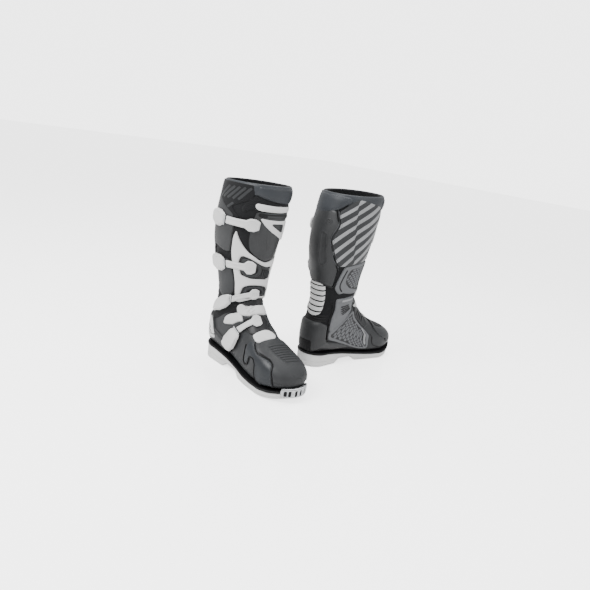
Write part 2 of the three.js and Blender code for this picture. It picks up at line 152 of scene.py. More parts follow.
def rim(ring, phi):
    """s of a rim at each phi."""
    front, side, back = ring
    cosine = np.cos(np.radians(phi))
    return side + (np.where(cosine >= 0, front, back) - side) * cosine**2


# ---------------------------------------------------------------- shapes

class Shape:
    """Points in a boot's own frame, faces, and a flat map of the surface in millimetres."""

    def __init__(self, points, faces, flat, kinds=None):
        self.points = np.asarray(points, float)
        self.faces = faces
        self.flat = np.asarray(flat, float)
        self.kinds = kinds


def joined(shapes):
    """Several shapes as one."""
    points, faces, flat, kinds, start = [], [], [], [], 0
    for shape in shapes:
        points.append(shape.points)
        flat.append(shape.flat)
        faces += [[start + i for i in face] for face in shape.faces]
        kinds += list(shape.kinds if shape.kinds is not None else [0] * len(shape.faces))
        start += len(shape.points)
    return Shape(np.concatenate(points), faces, np.concatenate(flat), kinds)


def swapped(pairs):
    """(s, phi) pairs as points of the flat map."""
    return np.asarray([(phi, s) for s, phi in pairs], float)


def loft_faces(rows, sides, closed=False):
    """The faces between rings of points, and over the two end rings."""
    faces = []
    for i in range(rows if closed else rows - 1):
        a, b = i * sides, ((i + 1) % rows) * sides
        faces += [[a + j, a + (j + 1) % sides, b + (j + 1) % sides, b + j] for j in range(sides)]
    if not closed:
        faces.append(list(range(sides))[::-1])
        faces.append([(rows - 1) * sides + j for j in range(sides)])
    return faces


def tube(low, high, outer, inner, rows=60, around=96, closed_toe=False):
    """A shell round the boot between two rims. outer and inner give distances from (t, s, phi)."""
    phi = np.arange(around) * 360 / around
    t = np.linspace(0, 1, rows)
    s = low(phi)[None, :] + (high(phi) - low(phi))[None, :] * t[:, None]
    tt, pp = np.broadcast_arrays(t[:, None], phi[None, :])
    outside = skin(s, pp, outer(tt, s, pp))
    inside = skin(s, pp, inner(tt, s, pp))
    points = np.concatenate([outside.reshape(-1, 3), inside.reshape(-1, 3)])
    flat = np.tile(np.stack([pp.ravel(), s.ravel()], -1), (2, 1))
    faces = []
    count = rows * around
    for i in range(rows - 1):
        for j in range(around):
            a, b = i * around + j, i * around + (j + 1) % around
            faces.append([a, b, b + around, a + around])
            faces.append([count + a, count + a + around, count + b + around, count + b])
    end = (rows - 1) * around
    for j in range(around):
        k = (j + 1) % around
        faces.append([end + j, end + k, count + end + k, count + end + j])
        if not closed_toe:
            faces.append([j, count + j, count + k, k])
    if closed_toe:
        faces.append(list(range(around))[::-1])
        faces.append([count + j for j in range(around)])
    return Shape(points, faces, flat)


def rounded(outline, reach=3.0, closed=True):
    """The outline with its corners cut twice, at most that far from each corner."""
    points = np.asarray(outline, float)
    for cut in (reach, reach * 0.4):
        after = np.roll(points, -1, axis=0) if closed else points[1:]
        before = points if closed else points[:-1]
        share = np.minimum(0.25, cut / np.maximum(np.linalg.norm(after - before, axis=1), 1e-9))[:,
            None]
        near = before * (1 - share) + after * share
        far = before * share + after * (1 - share)
        middle = np.stack([near, far], 1).reshape(-1, points.shape[1])
        points = middle if closed else np.concatenate([points[:1], middle, points[-1:]])
    return points


def resampled(points, step, closed=True):
    """Points at an even step along a line."""
    line = np.concatenate([points, points[:1]]) if closed else np.asarray(points, float)
    length = np.concatenate([[0], np.cumsum(np.linalg.norm(np.diff(line, axis=0), axis=1))])
    count = max(3, int(math.ceil(length[-1] / step)))
    at = np.linspace(0, length[-1], count + 1)
    if closed:
        at = at[:-1]
    return np.stack([np.interp(at, length, line[:, k]) for k in range(line.shape[1])], -1)


def smooth_loop(outline):
    """An outline of (s, phi) as a closed line in the flat map, with soft corners."""
    return resampled(rounded(swapped(outline)), 2.2)


def subdivided(line, step):
    """The line with points added between its corners, which stay."""
    parts = []
    for a, b in zip(line[:-1], line[1:]):
        count = max(1, int(math.ceil(np.linalg.norm(b - a) / step)))
        parts.append(a + (b - a) * (np.arange(count) / count)[:, None])
    return np.concatenate(parts + [line[-1:]])


def edge_distance(points, outline):
    """How far inside the outline each point is, negative outside."""
    a, b = outline, np.roll(outline, -1, axis=0)
    ab = b - a
    found = np.full(len(points), 1e9)
    inside = np.zeros(len(points), bool)
    x, y = points[:, 0], points[:, 1]
    for p, q, d in zip(a, b, ab):
        t = np.clip(((points - p) @ d) / max(d @ d, 1e-12), 0, 1)
        found = np.minimum(found, np.hypot(*(points - p - t[:, None] * d).T))
        if p[1] != q[1]:
            crosses = (p[1] > y) != (q[1] > y)
            inside ^= crosses & (x < (q[0] - p[0]) * (y - p[1]) / (q[1] - p[1]) + p[0])
    return np.where(inside, found, -found)


def moved_in(outline, by):
    """The outline moved inwards, or outwards if by is negative."""
    before, after = np.roll(outline, 1, axis=0), np.roll(outline, -1, axis=0)
    along = after - before
    along /= np.maximum(np.linalg.norm(along, axis=1), 1e-9)[:, None]
    area = np.sum(outline[:, 0] * after[:, 1] - after[:, 0] * outline[:, 1])
    normal = np.stack([-along[:, 1], along[:, 0]], -1) * np.sign(area)
    return outline + normal * by


def inset(outline, by):
    """The outline moved inwards, without the parts that fold over themselves."""
    moved = moved_in(outline, by)
    return moved[edge_distance(moved, outline) > by * 0.8]


def panel(outline, levels, inner, spacing=5.0, holes=(), relief=None, corners=3.0, kind=None,
        splits=(), surface=skin, fine=2.2):
    """A solid plate on the surface. outline holds (s, phi), and levels hold (inset, distance)."""
    loops = [resampled(rounded(swapped(loop), corners), fine) for loop in (outline, *holes)]
    reaches = [reach for reach, _ in levels]

    def depth(points):
        found = edge_distance(points, loops[0])
        for loop in loops[1:]:
            found = np.minimum(found, -edge_distance(points, loop))
        return found

    cloud = list(loops)
    for reach in reaches[1:]:
        for loop, sign in [(loops[0], 1)] + [(loop, -1) for loop in loops[1:]]:
            near = resampled(loop, max(2.2, reach / 2))
            near = inset(near, reach) if sign > 0 else moved_in(near, -reach)
            cloud.append(near[depth(near) > reach * 0.8])
    low, high = loops[0].min(0), loops[0].max(0)
    gx, gy = np.meshgrid(np.arange(low[0], high[0], spacing),
        np.arange(low[1], high[1], spacing * 0.87))
    gx[1::2] += spacing / 2
    grid = np.stack([gx.ravel(), gy.ravel()], -1)
    deep = depth(grid)
    clear = deep > max(0.8, spacing * 0.3)
    for reach in reaches[1:]:
        clear &= np.abs(deep - reach) > min(1.0, spacing * 0.25)
    cloud.append(grid[clear])
    edges, start = [], 0
    for loop in loops:
        edges += [(start + i, start + (i + 1) % len(loop)) for i in range(len(loop))]
        start += len(loop)
    start = sum(len(part) for part in cloud)
    for split in splits:
        line = subdivided(np.asarray(split, float), 4)
        edges += [(start + i, start + i + 1) for i in range(len(line) - 1)]
        cloud.append(line)
        start += len(line)
    points = [Vector(p) for p in np.concatenate(cloud)]
    found, _, triangles, _, _, _ = delaunay_2d_cdt(points, edges, [], 0, 1e-4)
    spots = np.array([(v.x, v.y) for v in found])
    triangles = np.array([list(t) for t in triangles])
    middles = spots[triangles].mean(1)
    triangles = triangles[depth(middles) > 0]
    used = np.unique(triangles)
    remap = np.full(len(spots), -1)
    remap[used] = np.arange(len(used))
    spots, triangles = spots[used], remap[triangles]
    deep = np.maximum(depth(spots), 0)
    top = np.interp(deep, reaches, [level for _, level in levels])
    if relief is not None:
        top = top + relief(spots[:, 1], spots[:, 0], deep)
    outside = surface(spots[:, 1], spots[:, 0], top)
    inside = surface(spots[:, 1], spots[:, 0], inner)
    count = len(spots)
    faces = [list(t) for t in triangles] + [[count + c, count + b, count + a] for a, b,
        c in triangles]
    directed = {(t[i], t[(i + 1) % 3]) for t in triangles.tolist() for i in range(3)}
    walls = [(a, b) for a, b in directed if (b, a) not in directed]
    faces += [[b, a, count + a, count + b] for a, b in sorted(walls)]
    kinds = None
    if kind is not None:
        middles = spots[triangles].mean(1)
        top_kinds = [int(k) for k in kind(middles[:, 1], middles[:, 0])]
        kinds = top_kinds + [0] * (len(faces) - len(top_kinds))
    return Shape(np.concatenate([outside, inside]), faces, np.tile(spots, (2, 1)), kinds)


def sweep(path, profile, step=3.0, smooth=5.0, closed=False, taper=0.0):
    """A ridge along a path of (s, phi). profile is a closed loop of (across, distance)."""
    line = swapped(path)
    if smooth:
        line = rounded(line, smooth, closed)
    line = resampled(line, step, closed)
    before = np.roll(line, 1, axis=0) if closed else np.concatenate([line[:1], line[:-1]])
    after = np.roll(line, -1, axis=0) if closed else np.concatenate([line[1:], line[-1:]])
    along = after - before
    along /= np.maximum(np.linalg.norm(along, axis=1), 1e-9)[:, None]
    across = np.stack([along[:, 1], -along[:, 0]], -1)
    profile = np.asarray(profile, float)
    size = np.ones(len(line))
    if taper:
        size[0] = size[-1] = taper
    spots = line[:, None, :] + across[:, None, :] * (profile[None, :, :1] * size[:, None, None])
    floor = profile[:, 1].min()
    distance = floor + (profile[None, :, 1] - floor) * size[:, None]
    points = skin(spots[..., 1], spots[..., 0], distance).reshape(-1, 3)
    return Shape(points, loft_faces(len(line), len(profile), closed), spots.reshape(-1, 2))


def ridge(half, low, high, soft=0.35):
    """The profile of a rounded ridge."""
    crown = low + (high - low) * (1 - soft * 0.5)
    return [(-half, low), (-half * 0.9, crown), (-half * 0.5, high), (half * 0.5, high),
        (half * 0.9, crown), (half, low)]


def bead(radius, middle, sides=8):
    """The profile of a round cord."""
    turns = np.arange(sides) * 2 * math.pi / sides
    return [(radius * math.cos(t), middle + radius * math.sin(t)) for t in turns]


def stitches(path, distance, pitch=4.2, length=2.6, closed=False):
    """A row of short thread stitches along a path."""
    line = resampled(rounded(swapped(path), 5.0, closed), pitch, closed)
    parts = []
    for a, b in zip(line[:-1], line[1:]):
        far = a + (b - a) * length / pitch
        pair = [(a[1], a[0]), ((a[1] + far[1]) / 2, (a[0] + far[0]) / 2), (far[1], far[0])]
        parts.append(sweep(pair, bead(0.5, distance, 5), step=length / 2, smooth=0, taper=0.5))
    return joined(parts)


def tiles(outline, pitch, size, low, high, margin, squash=0.9):
    """Small raised hexagons that fill an outline."""
    loop = smooth_loop(outline)
    lo, hi = loop.min(0), loop.max(0)
    gx, gy = np.meshgrid(np.arange(lo[0], hi[0], pitch),
        np.arange(lo[1], hi[1], pitch * 0.87 * squash))
    gx[1::2] += pitch / 2
    spots = np.stack([gx.ravel(), gy.ravel()], -1)
    spots = spots[edge_distance(spots, loop) > margin]
    turns = np.radians(np.arange(6) * 60 + 30)
    hexagon = np.stack([np.cos(turns), np.sin(turns) * squash], -1)
    shapes = []
    for spot in spots:
        base, top = spot + hexagon * size, spot + hexagon * size * 0.72
        flat = np.concatenate([base, top])
        level = np.array([low] * 6 + [high] * 6)
        faces = [[i, (i + 1) % 6, 6 + (i + 1) % 6, 6 + i] for i in range(6)]
        faces += [[6, 7, 8, 9, 10, 11], [5, 4, 3, 2, 1, 0]]
        shapes.append(Shape(skin(flat[:, 1], flat[:, 0], level), faces, flat))
    return joined(shapes)


def disc(spot, rings, sides=20, surface=skin):
    """A turned piece that stands on the surface at (s, phi). rings are (radius, height)."""
    s, phi = spot
    centre = surface([s], [phi], [0.0])[0]
    up = surface([s], [phi], [4.0])[0] - centre
    up /= np.linalg.norm(up)
    side = surface([s + 2], [phi], [0.0])[0] - centre
    side -= up * (side @ up)
    side /= np.linalg.norm(side)
    other = np.cross(up, side)
    turns = np.arange(sides) * 2 * math.pi / sides
    circle = np.cos(turns)[:, None] * side + np.sin(turns)[:, None] * other
    points = np.concatenate([centre + circle * radius + up * height for radius, height in rings])
    flat = np.concatenate([np.stack([phi + radius * np.cos(turns), s + radius * np.sin(turns)],
        -1) for radius, _ in rings])
    return Shape(points, loft_faces(len(rings), sides), flat)


# ---------------------------------------------------------------- the sole

HEEL = {"y": 45.0, "length": 41.0, 1: 39.0, -1: 38.0}
TOE = {"y": 250.0, "length": 68.0, 1: 59.0, -1: 55.0}
WAIST_Y = [45, 100, 150, 200, 250]
WAIST = {1: [39, 40, 45, 55, 59], -1: [38, 35, 37, 46, 55]}
SOLE_TOP = ([0, 60, 108, 151, 189, 221, 251, 281, 301, 318],
    [38.5, 36.5, 31.5, 25.5, 21.5, 19.5, 19.5, 22, 25.5, 29])
SOLE_BOTTOM = ([-5, 94, 108, 152, 168, 240, 266, 292, 318, 325],
    [0, 0, 12, 12, 0, 0, 1.4, 5.3, 12, 13.5])


def sole_outline(count=200):
    """The sole's plan, from the heel round the outer side to the toe and back, and its normals."""
    half = []
    for side in (1, -1):
        heel = [(side * HEEL[side] * math.sin(t), HEEL["y"] - HEEL["length"] * math.cos(t)) for t in
            np.linspace(0, math.pi / 2, 16)]
        toe = [(side * TOE[side] * math.cos(t), TOE["y"] + TOE["length"] * math.sin(t)) for t in
            np.linspace(0, math.pi / 2, 22)]
        ys = np.linspace(45, 250, 20)[1:-1]
        table = np.array(WAIST[side], float)[:, None]
        slopes = smooth_slopes(np.array(WAIST_Y, float), table)
        waist = []
        for y in ys:
            i = min(np.searchsorted(WAIST_Y, y, side="right") - 1, len(WAIST_Y) - 2)
            w = WAIST_Y[i + 1] - WAIST_Y[i]
            t = (y - WAIST_Y[i]) / w
            x = (2 * t**3 - 3 * t**2 + 1) * table[i, 0] + (t**3 - 2 * t**2 + t) * w * slopes[i, 0]
            x += (3 * t**2 - 2 * t**3) * table[i + 1, 0] + (t**3 - t**2) * w * slopes[i + 1, 0]
            waist.append((side * x, y))
        half.append(np.array(heel + waist + toe))
    sides = []
    for part in half:
        length = np.concatenate([[0], np.cumsum(np.linalg.norm(np.diff(part, axis=0), axis=1))])
        at = np.linspace(0, length[-1], count // 2 + 1)
        sides.append(np.stack([np.interp(at, length, part[:, c]) for c in range(2)], -1))
    line = np.concatenate([sides[0], sides[1][::-1][1:-1]])
    along = np.roll(line, -1, axis=0) - np.roll(line, 1, axis=0)
    along /= np.linalg.norm(along, axis=1)[:, None]
    return line, np.stack([along[:, 1], -along[:, 0]], -1)


OUTLINE, OUTLINE_NORMAL = sole_outline()
sole_top = lambda y: np.interp(y, *SOLE_TOP)
sole_bottom = lambda y: np.interp(y, *SOLE_BOTTOM)


def slab(profile):
    """A body inside the sole's plan. profile is (outwards, height at y) from the bottom up."""
    n = len(OUTLINE)
    loops = []
    for out, height in profile:
        ground = OUTLINE + OUTLINE_NORMAL * out
        loops.append(np.concatenate([ground, height(ground[:, 1])[:, None]], -1))
    points = np.concatenate(loops)
    faces = []
    for i in range(len(profile) - 1):
        for j in range(n):
            k = (j + 1) % n
            faces.append([i * n + k, i * n + j, (i + 1) * n + j, (i + 1) * n + k])
    for base, up in ((0, False), ((len(profile) - 1) * n, True)):
        for j in range(n // 2):
            a, b = base + j, base + j + 1
            c, d = base + (n - j - 1) % n, base + (n - j) % n
            face = [a, b, c, d] if j else [a, b, c]
            if j == n // 2 - 1:
                face = [a, b, d]
            faces.append(face if not up else face[::-1])
    flat = points[:, :2] + points[:, 2:] * 0.5
    return Shape(points, faces, flat)


# ---------------------------------------------------------------- materials

def principled(name, colour, roughness, metallic=0.0, **shader):
    material = bpy.data.materials.new(name)
    material.use_nodes = True
    nodes, links = material.node_tree.nodes, material.node_tree.links
    bsdf = nodes["Principled BSDF"]
    bsdf.inputs["Metallic"].default_value = metallic
    bsdf.inputs["Roughness"].default_value = roughness
    bsdf.inputs["Base Color"].default_value = (*colour, 1)
    for key, value in shader.items():
        bsdf.inputs[key.replace("_", " ")].default_value = value
    return material, nodes, links, bsdf


def grain(nodes, links, scale, detail=4.0):
    where = nodes.new("ShaderNodeTexCoord")
    noise = nodes.new("ShaderNodeTexNoise")
    noise.inputs["Scale"].default_value = scale
    noise.inputs["Detail"].default_value = detail
    links.new(where.outputs["Object"], noise.inputs["Vector"])
    return noise


def ramp(nodes, links, source, low, high, start=0.35, end=0.65):
    mapping = nodes.new("ShaderNodeMapRange")
    mapping.inputs["From Min"].default_value = start
    mapping.inputs["From Max"].default_value = end
    mapping.inputs["To Min"].default_value = low
    mapping.inputs["To Max"].default_value = high
    links.new(source, mapping.inputs["Value"])
    return mapping.outputs["Result"]


def tint(nodes, links, factor, low, high):
    mix = nodes.new("ShaderNodeMix")
    mix.data_type = "RGBA"
    mix.inputs["A"].default_value = (*low, 1)
    mix.inputs["B"].default_value = (*high, 1)
    links.new(factor, mix.inputs["Factor"])
    return mix.outputs["Result"]


def bump(nodes, links, height, strength, depth, before=None):
    node = nodes.new("ShaderNodeBump")
    node.inputs["Strength"].default_value = strength
    node.inputs["Distance"].default_value = depth
    links.new(height, node.inputs["Height"])
    if before is not None:
        links.new(before, node.inputs["Normal"])
    return node.outputs["Normal"]


def shade(colour, by):
    return tuple(min(1.0, c * by) for c in colour)


def moulded(name, colour, roughness=0.42, grain_scale=900.0, depth=0.00025, wear=0.12):
    """Moulded plastic or synthetic leather: fine grain, cloudy gloss and a little colour drift."""
    material, nodes, links, bsdf = principled(name, colour, roughness, Specular_IOR_Level=0.26)
    cloud = grain(nodes, links, 22.0, 5.0)
    fine = grain(nodes, links, grain_scale, 2.0)
    drift = ramp(nodes, links, cloud.outputs["Fac"], 0.0, 1.0)
    links.new(tint(nodes, links, drift, shade(colour, 1 - wear), shade(colour, 1 + wear)),
        bsdf.inputs["Base Color"])
    links.new(ramp(nodes, links, cloud.outputs["Fac"], roughness - 0.07, roughness + 0.09),
        bsdf.inputs["Roughness"])
    links.new(bump(nodes, links, fine.outputs["Fac"], 0.35, depth), bsdf.inputs["Normal"])
    return material


def woven(name, colour, thread=1.6, lighter=1.5):
    """Woven textile: two sets of threads across the surface's flat map, in millimetres."""
    material, nodes, links, bsdf = principled(name, colour, 0.85, Specular_IOR_Level=0.15,
        Sheen_Weight=0.06, Sheen_Roughness=0.5)
    where = nodes.new("ShaderNodeUVMap")
    where.uv_map = "flat"
    heights = []
    for turn in (45, -45):
        turned = nodes.new("ShaderNodeMapping")
        turned.inputs["Rotation"].default_value = (0, 0, math.radians(turn))
        turned.inputs["Scale"].default_value = (1000 / thread / 6.283, 1000 / thread / 6.283, 1)
        wave = nodes.new("ShaderNodeTexWave")
        wave.inputs["Scale"].default_value = 1.0
        wave.inputs["Distortion"].default_value = 0.4
        links.new(where.outputs["UV"], turned.inputs["Vector"])
        links.new(turned.outputs["Vector"], wave.inputs["Vector"])
        heights.append(wave.outputs["Fac"])
    both = nodes.new("ShaderNodeMath")
    both.operation = "MULTIPLY"
    links.new(heights[0], both.inputs[0])
    links.new(heights[1], both.inputs[1])
    cloud = grain(nodes, links, 30.0, 5.0)
    lift = nodes.new("ShaderNodeMath")
    lift.operation = "MULTIPLY"
    links.new(both.outputs[0], lift.inputs[0])
    links.new(ramp(nodes, links, cloud.outputs["Fac"], 0.5, 1.0), lift.inputs[1])
    links.new(tint(nodes, links, lift.outputs[0], shade(colour, 0.7), shade(colour, lighter)),
        bsdf.inputs["Base Color"])
    links.new(bump(nodes, links, both.outputs[0], 0.5, 0.0004), bsdf.inputs["Normal"])
    return material


def rubber(name, colour, roughness=0.6, scale=420.0):
    """Matt rubber with a dusty, slightly pebbled face."""
    material, nodes, links, bsdf = principled(name, colour, roughness, Specular_IOR_Level=0.2)
    cloud = grain(nodes, links, 14.0, 6.0)
    pebble = nodes.new("ShaderNodeTexVoronoi")
    pebble.inputs["Scale"].default_value = scale
    where = nodes.new("ShaderNodeTexCoord")
    links.new(where.outputs["Object"], pebble.inputs["Vector"])
    drift = ramp(nodes, links, cloud.outputs["Fac"], 0.0, 1.0)
    links.new(tint(nodes, links, drift, shade(colour, 0.93), shade(colour, 1.05)),
        bsdf.inputs["Base Color"])
    links.new(ramp(nodes, links, cloud.outputs["Fac"], roughness - 0.08, roughness + 0.1),
        bsdf.inputs["Roughness"])
    links.new(bump(nodes, links, pebble.outputs["Distance"], 0.25, 0.0003), bsdf.inputs["Normal"])
    return material


def steel(name, colour, roughness=0.18):
    """Bright pressed steel with fine drawn lines and faint scuffs."""
    material, nodes, links, bsdf = principled(name, colour, roughness, 1.0)
    lines = grain(nodes, links, 260.0, 3.0)
    scuffs = grain(nodes, links, 60.0, 8.0)
    links.new(ramp(nodes, links, scuffs.outputs["Fac"], roughness - 0.06, roughness + 0.22),
        bsdf.inputs["Roughness"])
    links.new(tint(nodes, links, scuffs.outputs["Fac"], shade(colour, 0.85), shade(colour, 1.08)),
        bsdf.inputs["Base Color"])
    links.new(bump(nodes, links, lines.outputs["Fac"], 0.12, 0.0002), bsdf.inputs["Normal"])
    return material


CHARCOAL = (0.0205, 0.0215, 0.0230)
GRAPHITE = (0.0250, 0.0258, 0.0270)
INK = (0.0080, 0.0083, 0.0092)
BLUE_GREY = (0.0235, 0.0262, 0.0305)
SLATE = (0.0185, 0.0208, 0.0240)
LIGHT_GREY = (0.215, 0.218, 0.224)
GRIP_GREY = (0.115, 0.118, 0.124)
WHITE = (0.56, 0.56, 0.557)
BLACK = (0.0035, 0.0035, 0.004)

LOOKS = {
    "upper": moulded("upper_skin", CHARCOAL, 0.46),
    "panel": moulded("panel_skin", GRAPHITE, 0.40),
    "collar": moulded("collar_skin", BLUE_GREY, 0.45, 500.0, 0.0004),
    "slate": moulded("insert_skin", SLATE, 0.42, 700.0, 0.0003),
    "textile": woven("textile_weave", INK),
    "stripe": moulded("stripe_print", LIGHT_GREY, 0.5, 700.0, 0.0003),
    "grip": rubber("grip_rubber", GRIP_GREY, 0.66),
    "white": moulded("white_plastic", WHITE, 0.36, 1200.0, 0.0001, 0.03),
    "flex": rubber("white_flex", WHITE, 0.5, 700.0),
    "sole": rubber("sole_rubber", (0.60, 0.60, 0.595), 0.5, 500.0),
    "black": rubber("black_rubber", BLACK, 0.5),
    "dark": moulded("dark_plastic", INK, 0.38),
    "steel": steel("toe_steel", (0.46, 0.47, 0.48)),
    "lining": woven("lining_mesh", (0.006, 0.0063, 0.007), 3.0, 1.8),
    "thread": moulded("thread", (0.05, 0.052, 0.056), 0.7),
}

# ---------------------------------------------------------------- placing

MM = 0.001


class Boot:
    """Where one boot stands, from its ankle joint in the frame."""

    def __init__(self, side):
        joint = next(j for j in frame["joints"] if j["name"] == f"{side}_ankle_flex")
        self.side = side
        self.hand = 1 if side == "right" else -1
        self.pivot = np.array(joint["pos_m"])
        self.across = -np.array(joint["axis"])
        self.up = np.array([0.0, 0.0, 1.0])
        self.ahead = np.cross(self.up, self.across)

    def world(self, points):
        points = np.asarray(points, float)
        x, y, z = points[..., 0:1] * self.hand, points[..., 1:2] - ANKLE[0], points[...,
            2:3] - ANKLE[1]
        return self.pivot + (x * self.across + y * self.ahead + z * self.up) * MM


BOOTS = [Boot("right"), Boot("left")]


def place(boot, name, shape, looks, body=None, stands_for=(), bend=None, sharp=35):
    """Adds a shape to one boot as a piece. looks is one look, or one per kind of face."""
    looks = [looks] if isinstance(looks, str) else looks
    mesh = bpy.data.meshes.new(f"{boot.side}_{name}")
    faces = shape.faces if boot.hand > 0 else [face[::-1] for face in shape.faces]
    mesh.from_pydata(boot.world(shape.points).tolist(), [], faces)
    for look in looks:
        mesh.materials.append(LOOKS[look])
    if shape.kinds is not None:
        mesh.polygons.foreach_set("material_index", np.array(shape.kinds, np.int32))
    layer = mesh.uv_layers.new(name="flat")
    corner = np.zeros(len(mesh.loops), np.int32)
    mesh.loops.foreach_get("vertex_index", corner)
    layer.data.foreach_set("uv", (shape.flat[corner] * MM).astype(np.float32).ravel())
    mesh.shade_smooth()
    mesh.set_sharp_from_angle(angle=math.radians(sharp))
    piece = bpy.data.objects.new(f"{boot.side}_{name}", mesh)
    bpy.context.scene.collection.objects.link(piece)
    if stands_for:
        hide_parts(*(f"{boot.side}_{node}" for node in stands_for))
    if bend is not None:
        start, end = (boot.world(np.array([0.0, y, z])) for y, z in bend)
        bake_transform(piece)
    else:
        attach(piece, f"{boot.side}_{body}")
    return piece


def both(name, shape, looks, **how):
    """The same piece on each boot."""
    for boot in BOOTS:
        place(boot, name, shape, looks, **how)


# Two (y, z) points for a soft piece: where it would start to follow the cuff and where it would
# follow it wholly. place() works them out, but nothing bends the piece, which is left on no body.
BEND_ALL = ((82, 104), (82, 205))
BEND_FRONT = ((166, 146), (148, 184))
BEND_BACK = ((12, 112), (12, 208))
BEND_SIDE = ((118, 108), (104, 188))

# ---------------------------------------------------------------- foot

fill = lambda value: (lambda t, s, phi: np.full(np.shape(s), float(value)))


def rolled(out, inner, roll_low=0.0, roll_high=0.0, depth=1.6):
    """Distances of a shell whose rims are rolled over. The rolls are shares of its height."""
    def outside(t, s, phi):
        d = np.full(np.shape(s), float(out))
        if roll_low:
            d = d - depth * (1 - np.sqrt(np.clip(t / roll_low, 0,
                1) * (2 - np.clip(t / roll_low, 0, 1))))
        if roll_high:
            u = np.clip((1 - t) / roll_high, 0, 1)
            d = d - depth * (1 - np.sqrt(u * (2 - u)))
        return d
    return outside, fill(inner)


def level_line(value):
    return lambda phi: np.full(np.shape(phi), float(value))


shell_out, shell_in = rolled(0, -3, 0, 0.02, 1.4)
both("foot_shell", tube(level_line(0.5), lambda p: rim(FOOT_RIM, p), shell_out, shell_in, 70, 96,
    True), "upper", body="foot", stands_for=["foot_shell"])

TOE_CAP = [(112, 50), (116, 20), (114, -6), (108, -30), (104, -60), (84, -78), (56, -88), (30, -96),
    (3, -98), (2.5, -40), (2.5, 0), (2.5, 40), (3, 96), (34, 94), (44, 50), (58, 41), (74, 46),
    (98, 55)]
cap_bevel = [(0, 0.4), (0.9, 2.6), (2.4, 3.5), (12, 3.6)]


def toe_hollow(s, phi, deep):
    """A shallow field in the toe cap that the ribs stand in."""
    t = np.clip((s - 30) / 62, 0, 1)
    left, right = 14 + 13 * t, -34 - 14 * t
    inside = np.minimum.reduce([phi - right, left - phi, s - 28, 95 - s])
    return -1.1 * np.clip(inside / 3, 0, 1)


both("toe_cap", panel(TOE_CAP, cap_bevel, -0.6, 4.0, relief=toe_hollow), "upper", body="foot",
    stands_for=["toe_cap"])
toe_ribs = []
for i in range(8):
    s = 36 + i * 7.6
    t = (s - 30) / 62
    left, right = 10 + 13 * t, -30 - 14 * t
    toe_ribs.append(sweep([(s + 2, left), (s - 1, (left + right) / 2), (s + 2, right)],
        ridge(2.3, 1.8, 4.3), taper=0.7))
both("toe_ribs", joined(toe_ribs), "upper", body="foot")

INSERT = [(126, 50), (110, 58), (96, 60), (74, 49), (58, 44), (46, 52), (37, 92), (34, 116),
    (66, 126), (84, 112), (92, 88), (100, 78), (112, 80), (128, 96), (140, 92), (143, 72),
    (136, 56)]
both("side_insert", panel(INSERT, [(0, 0.2), (1, 1.7), (3, 2.0)], -0.6, 6), "slate", body="foot")
seams = [sweep([(124, 47), (108, 57), (97, 57.5), (74, 47.5), (58, 42.5), (45, 51), (35.5, 93),
    (33, 118)], ridge(1.1, 0.4, 3.2)), sweep([(67, 127), (85, 114), (93, 89), (101, 79.5),
    (112, 81.5), (128, 98), (142, 94), (146, 74)], ridge(1.0, 0.4, 2.6)),]
both("foot_seams", joined(seams), "black", body="foot")
both("foot_stitches", joined([stitches([(118, 47), (105, 52), (94, 53), (73, 43), (57, 38),
    (42, 47), (31, 90)], 3.9), stitches([(122, 56), (112, 62), (97, 64), (75, 54), (59, 49),
    (49, 57), (40, 92), (37, 114)], 2.3), stitches([(64, 121), (80, 109), (88, 87), (97, 75),
    (113, 76), (127, 90), (138, 88)], 2.3),]), "thread", body="foot")

INSTEP = [(143, 47), (139, 24), (136, 4), (126, -10), (116, -14), (107, -6), (108, 14), (112, 36),
    (122, 46)]
both("instep_guard", panel(INSTEP, [(0, 1.6), (0.9, 4.0), (2.2, 4.8), (6, 5.0)], 0.6, 5), "white",
    body="foot")
both("instep_ribs", joined([sweep([(136 - 3 * k, 40 - 4 * k), (122 - 3 * k, 38 - 5 * k)],
    ridge(0.8, 4.4, 5.6), taper=0.6) for k in range(5)]), "white", body="foot")

# The cup round the heel.
COUNTER = [(244, 113), (252, 119), (262, 130), (269, 148), (272, 165), (273, 180), (272, 196),
    (270, 212), (264, 226), (256, 240), (238, 243), (218, 244), (202, 246), (186, 247), (176, 245),
    (178, 240), (184, 232), (194, 222), (206, 210), (216, 196), (220, 180), (216, 164), (206, 150),
    (194, 136), (184, 124), (178, 114), (196, 108), (222, 107)]


def counter_relief(s, phi, deep):
    waist = np.exp(-((s - 226 - 0.05 * (phi - 180)) / 3.0) ** 2)
    return -0.5 * waist * np.clip(deep / 4, 0, 1)


both("heel_counter", panel(COUNTER, [(0, 1.2), (1.2, 4.4), (3, 5.4), (9, 5.6)], 0.6, 5,
    relief=counter_relief), "panel", body="foot", stands_for=["heel_counter"])
both("heel_seam", sweep([(256, 243), (238, 246), (218, 247), (202, 249), (188, 250), (172, 248)],
    ridge(1.3, 0.4, 3.6)), "black", body="foot")
HEEL_BADGE = [(238, 141), (250, 133), (257, 120), (240, 111), (220, 109), (213, 118), (212, 126),
    (224, 134)]
both("heel_badge", panel(HEEL_BADGE, [(0, 5.0), (0.8, 6.4), (2, 6.8)], 4.6, 5), "white",
    body="foot")
both("heel_badge_lines", joined([sweep([(245 - 7 * k, 131 - 3 * k), (234 - 6.4 * k, 117 - 1.5 * k)],
    ridge(0.8, 6.3, 7.3), taper=0.6) for k in range(4)]), "dark", body="foot")
both("heel_pad", panel([(244, 160), (246, 182), (244, 204), (226, 204), (223, 182), (226, 160)],
    [(0, 5.0), (0.8, 6.0), (2, 6.2)], 4.6, 6), "black", body="foot")

# ---------------------------------------------------------------- sole

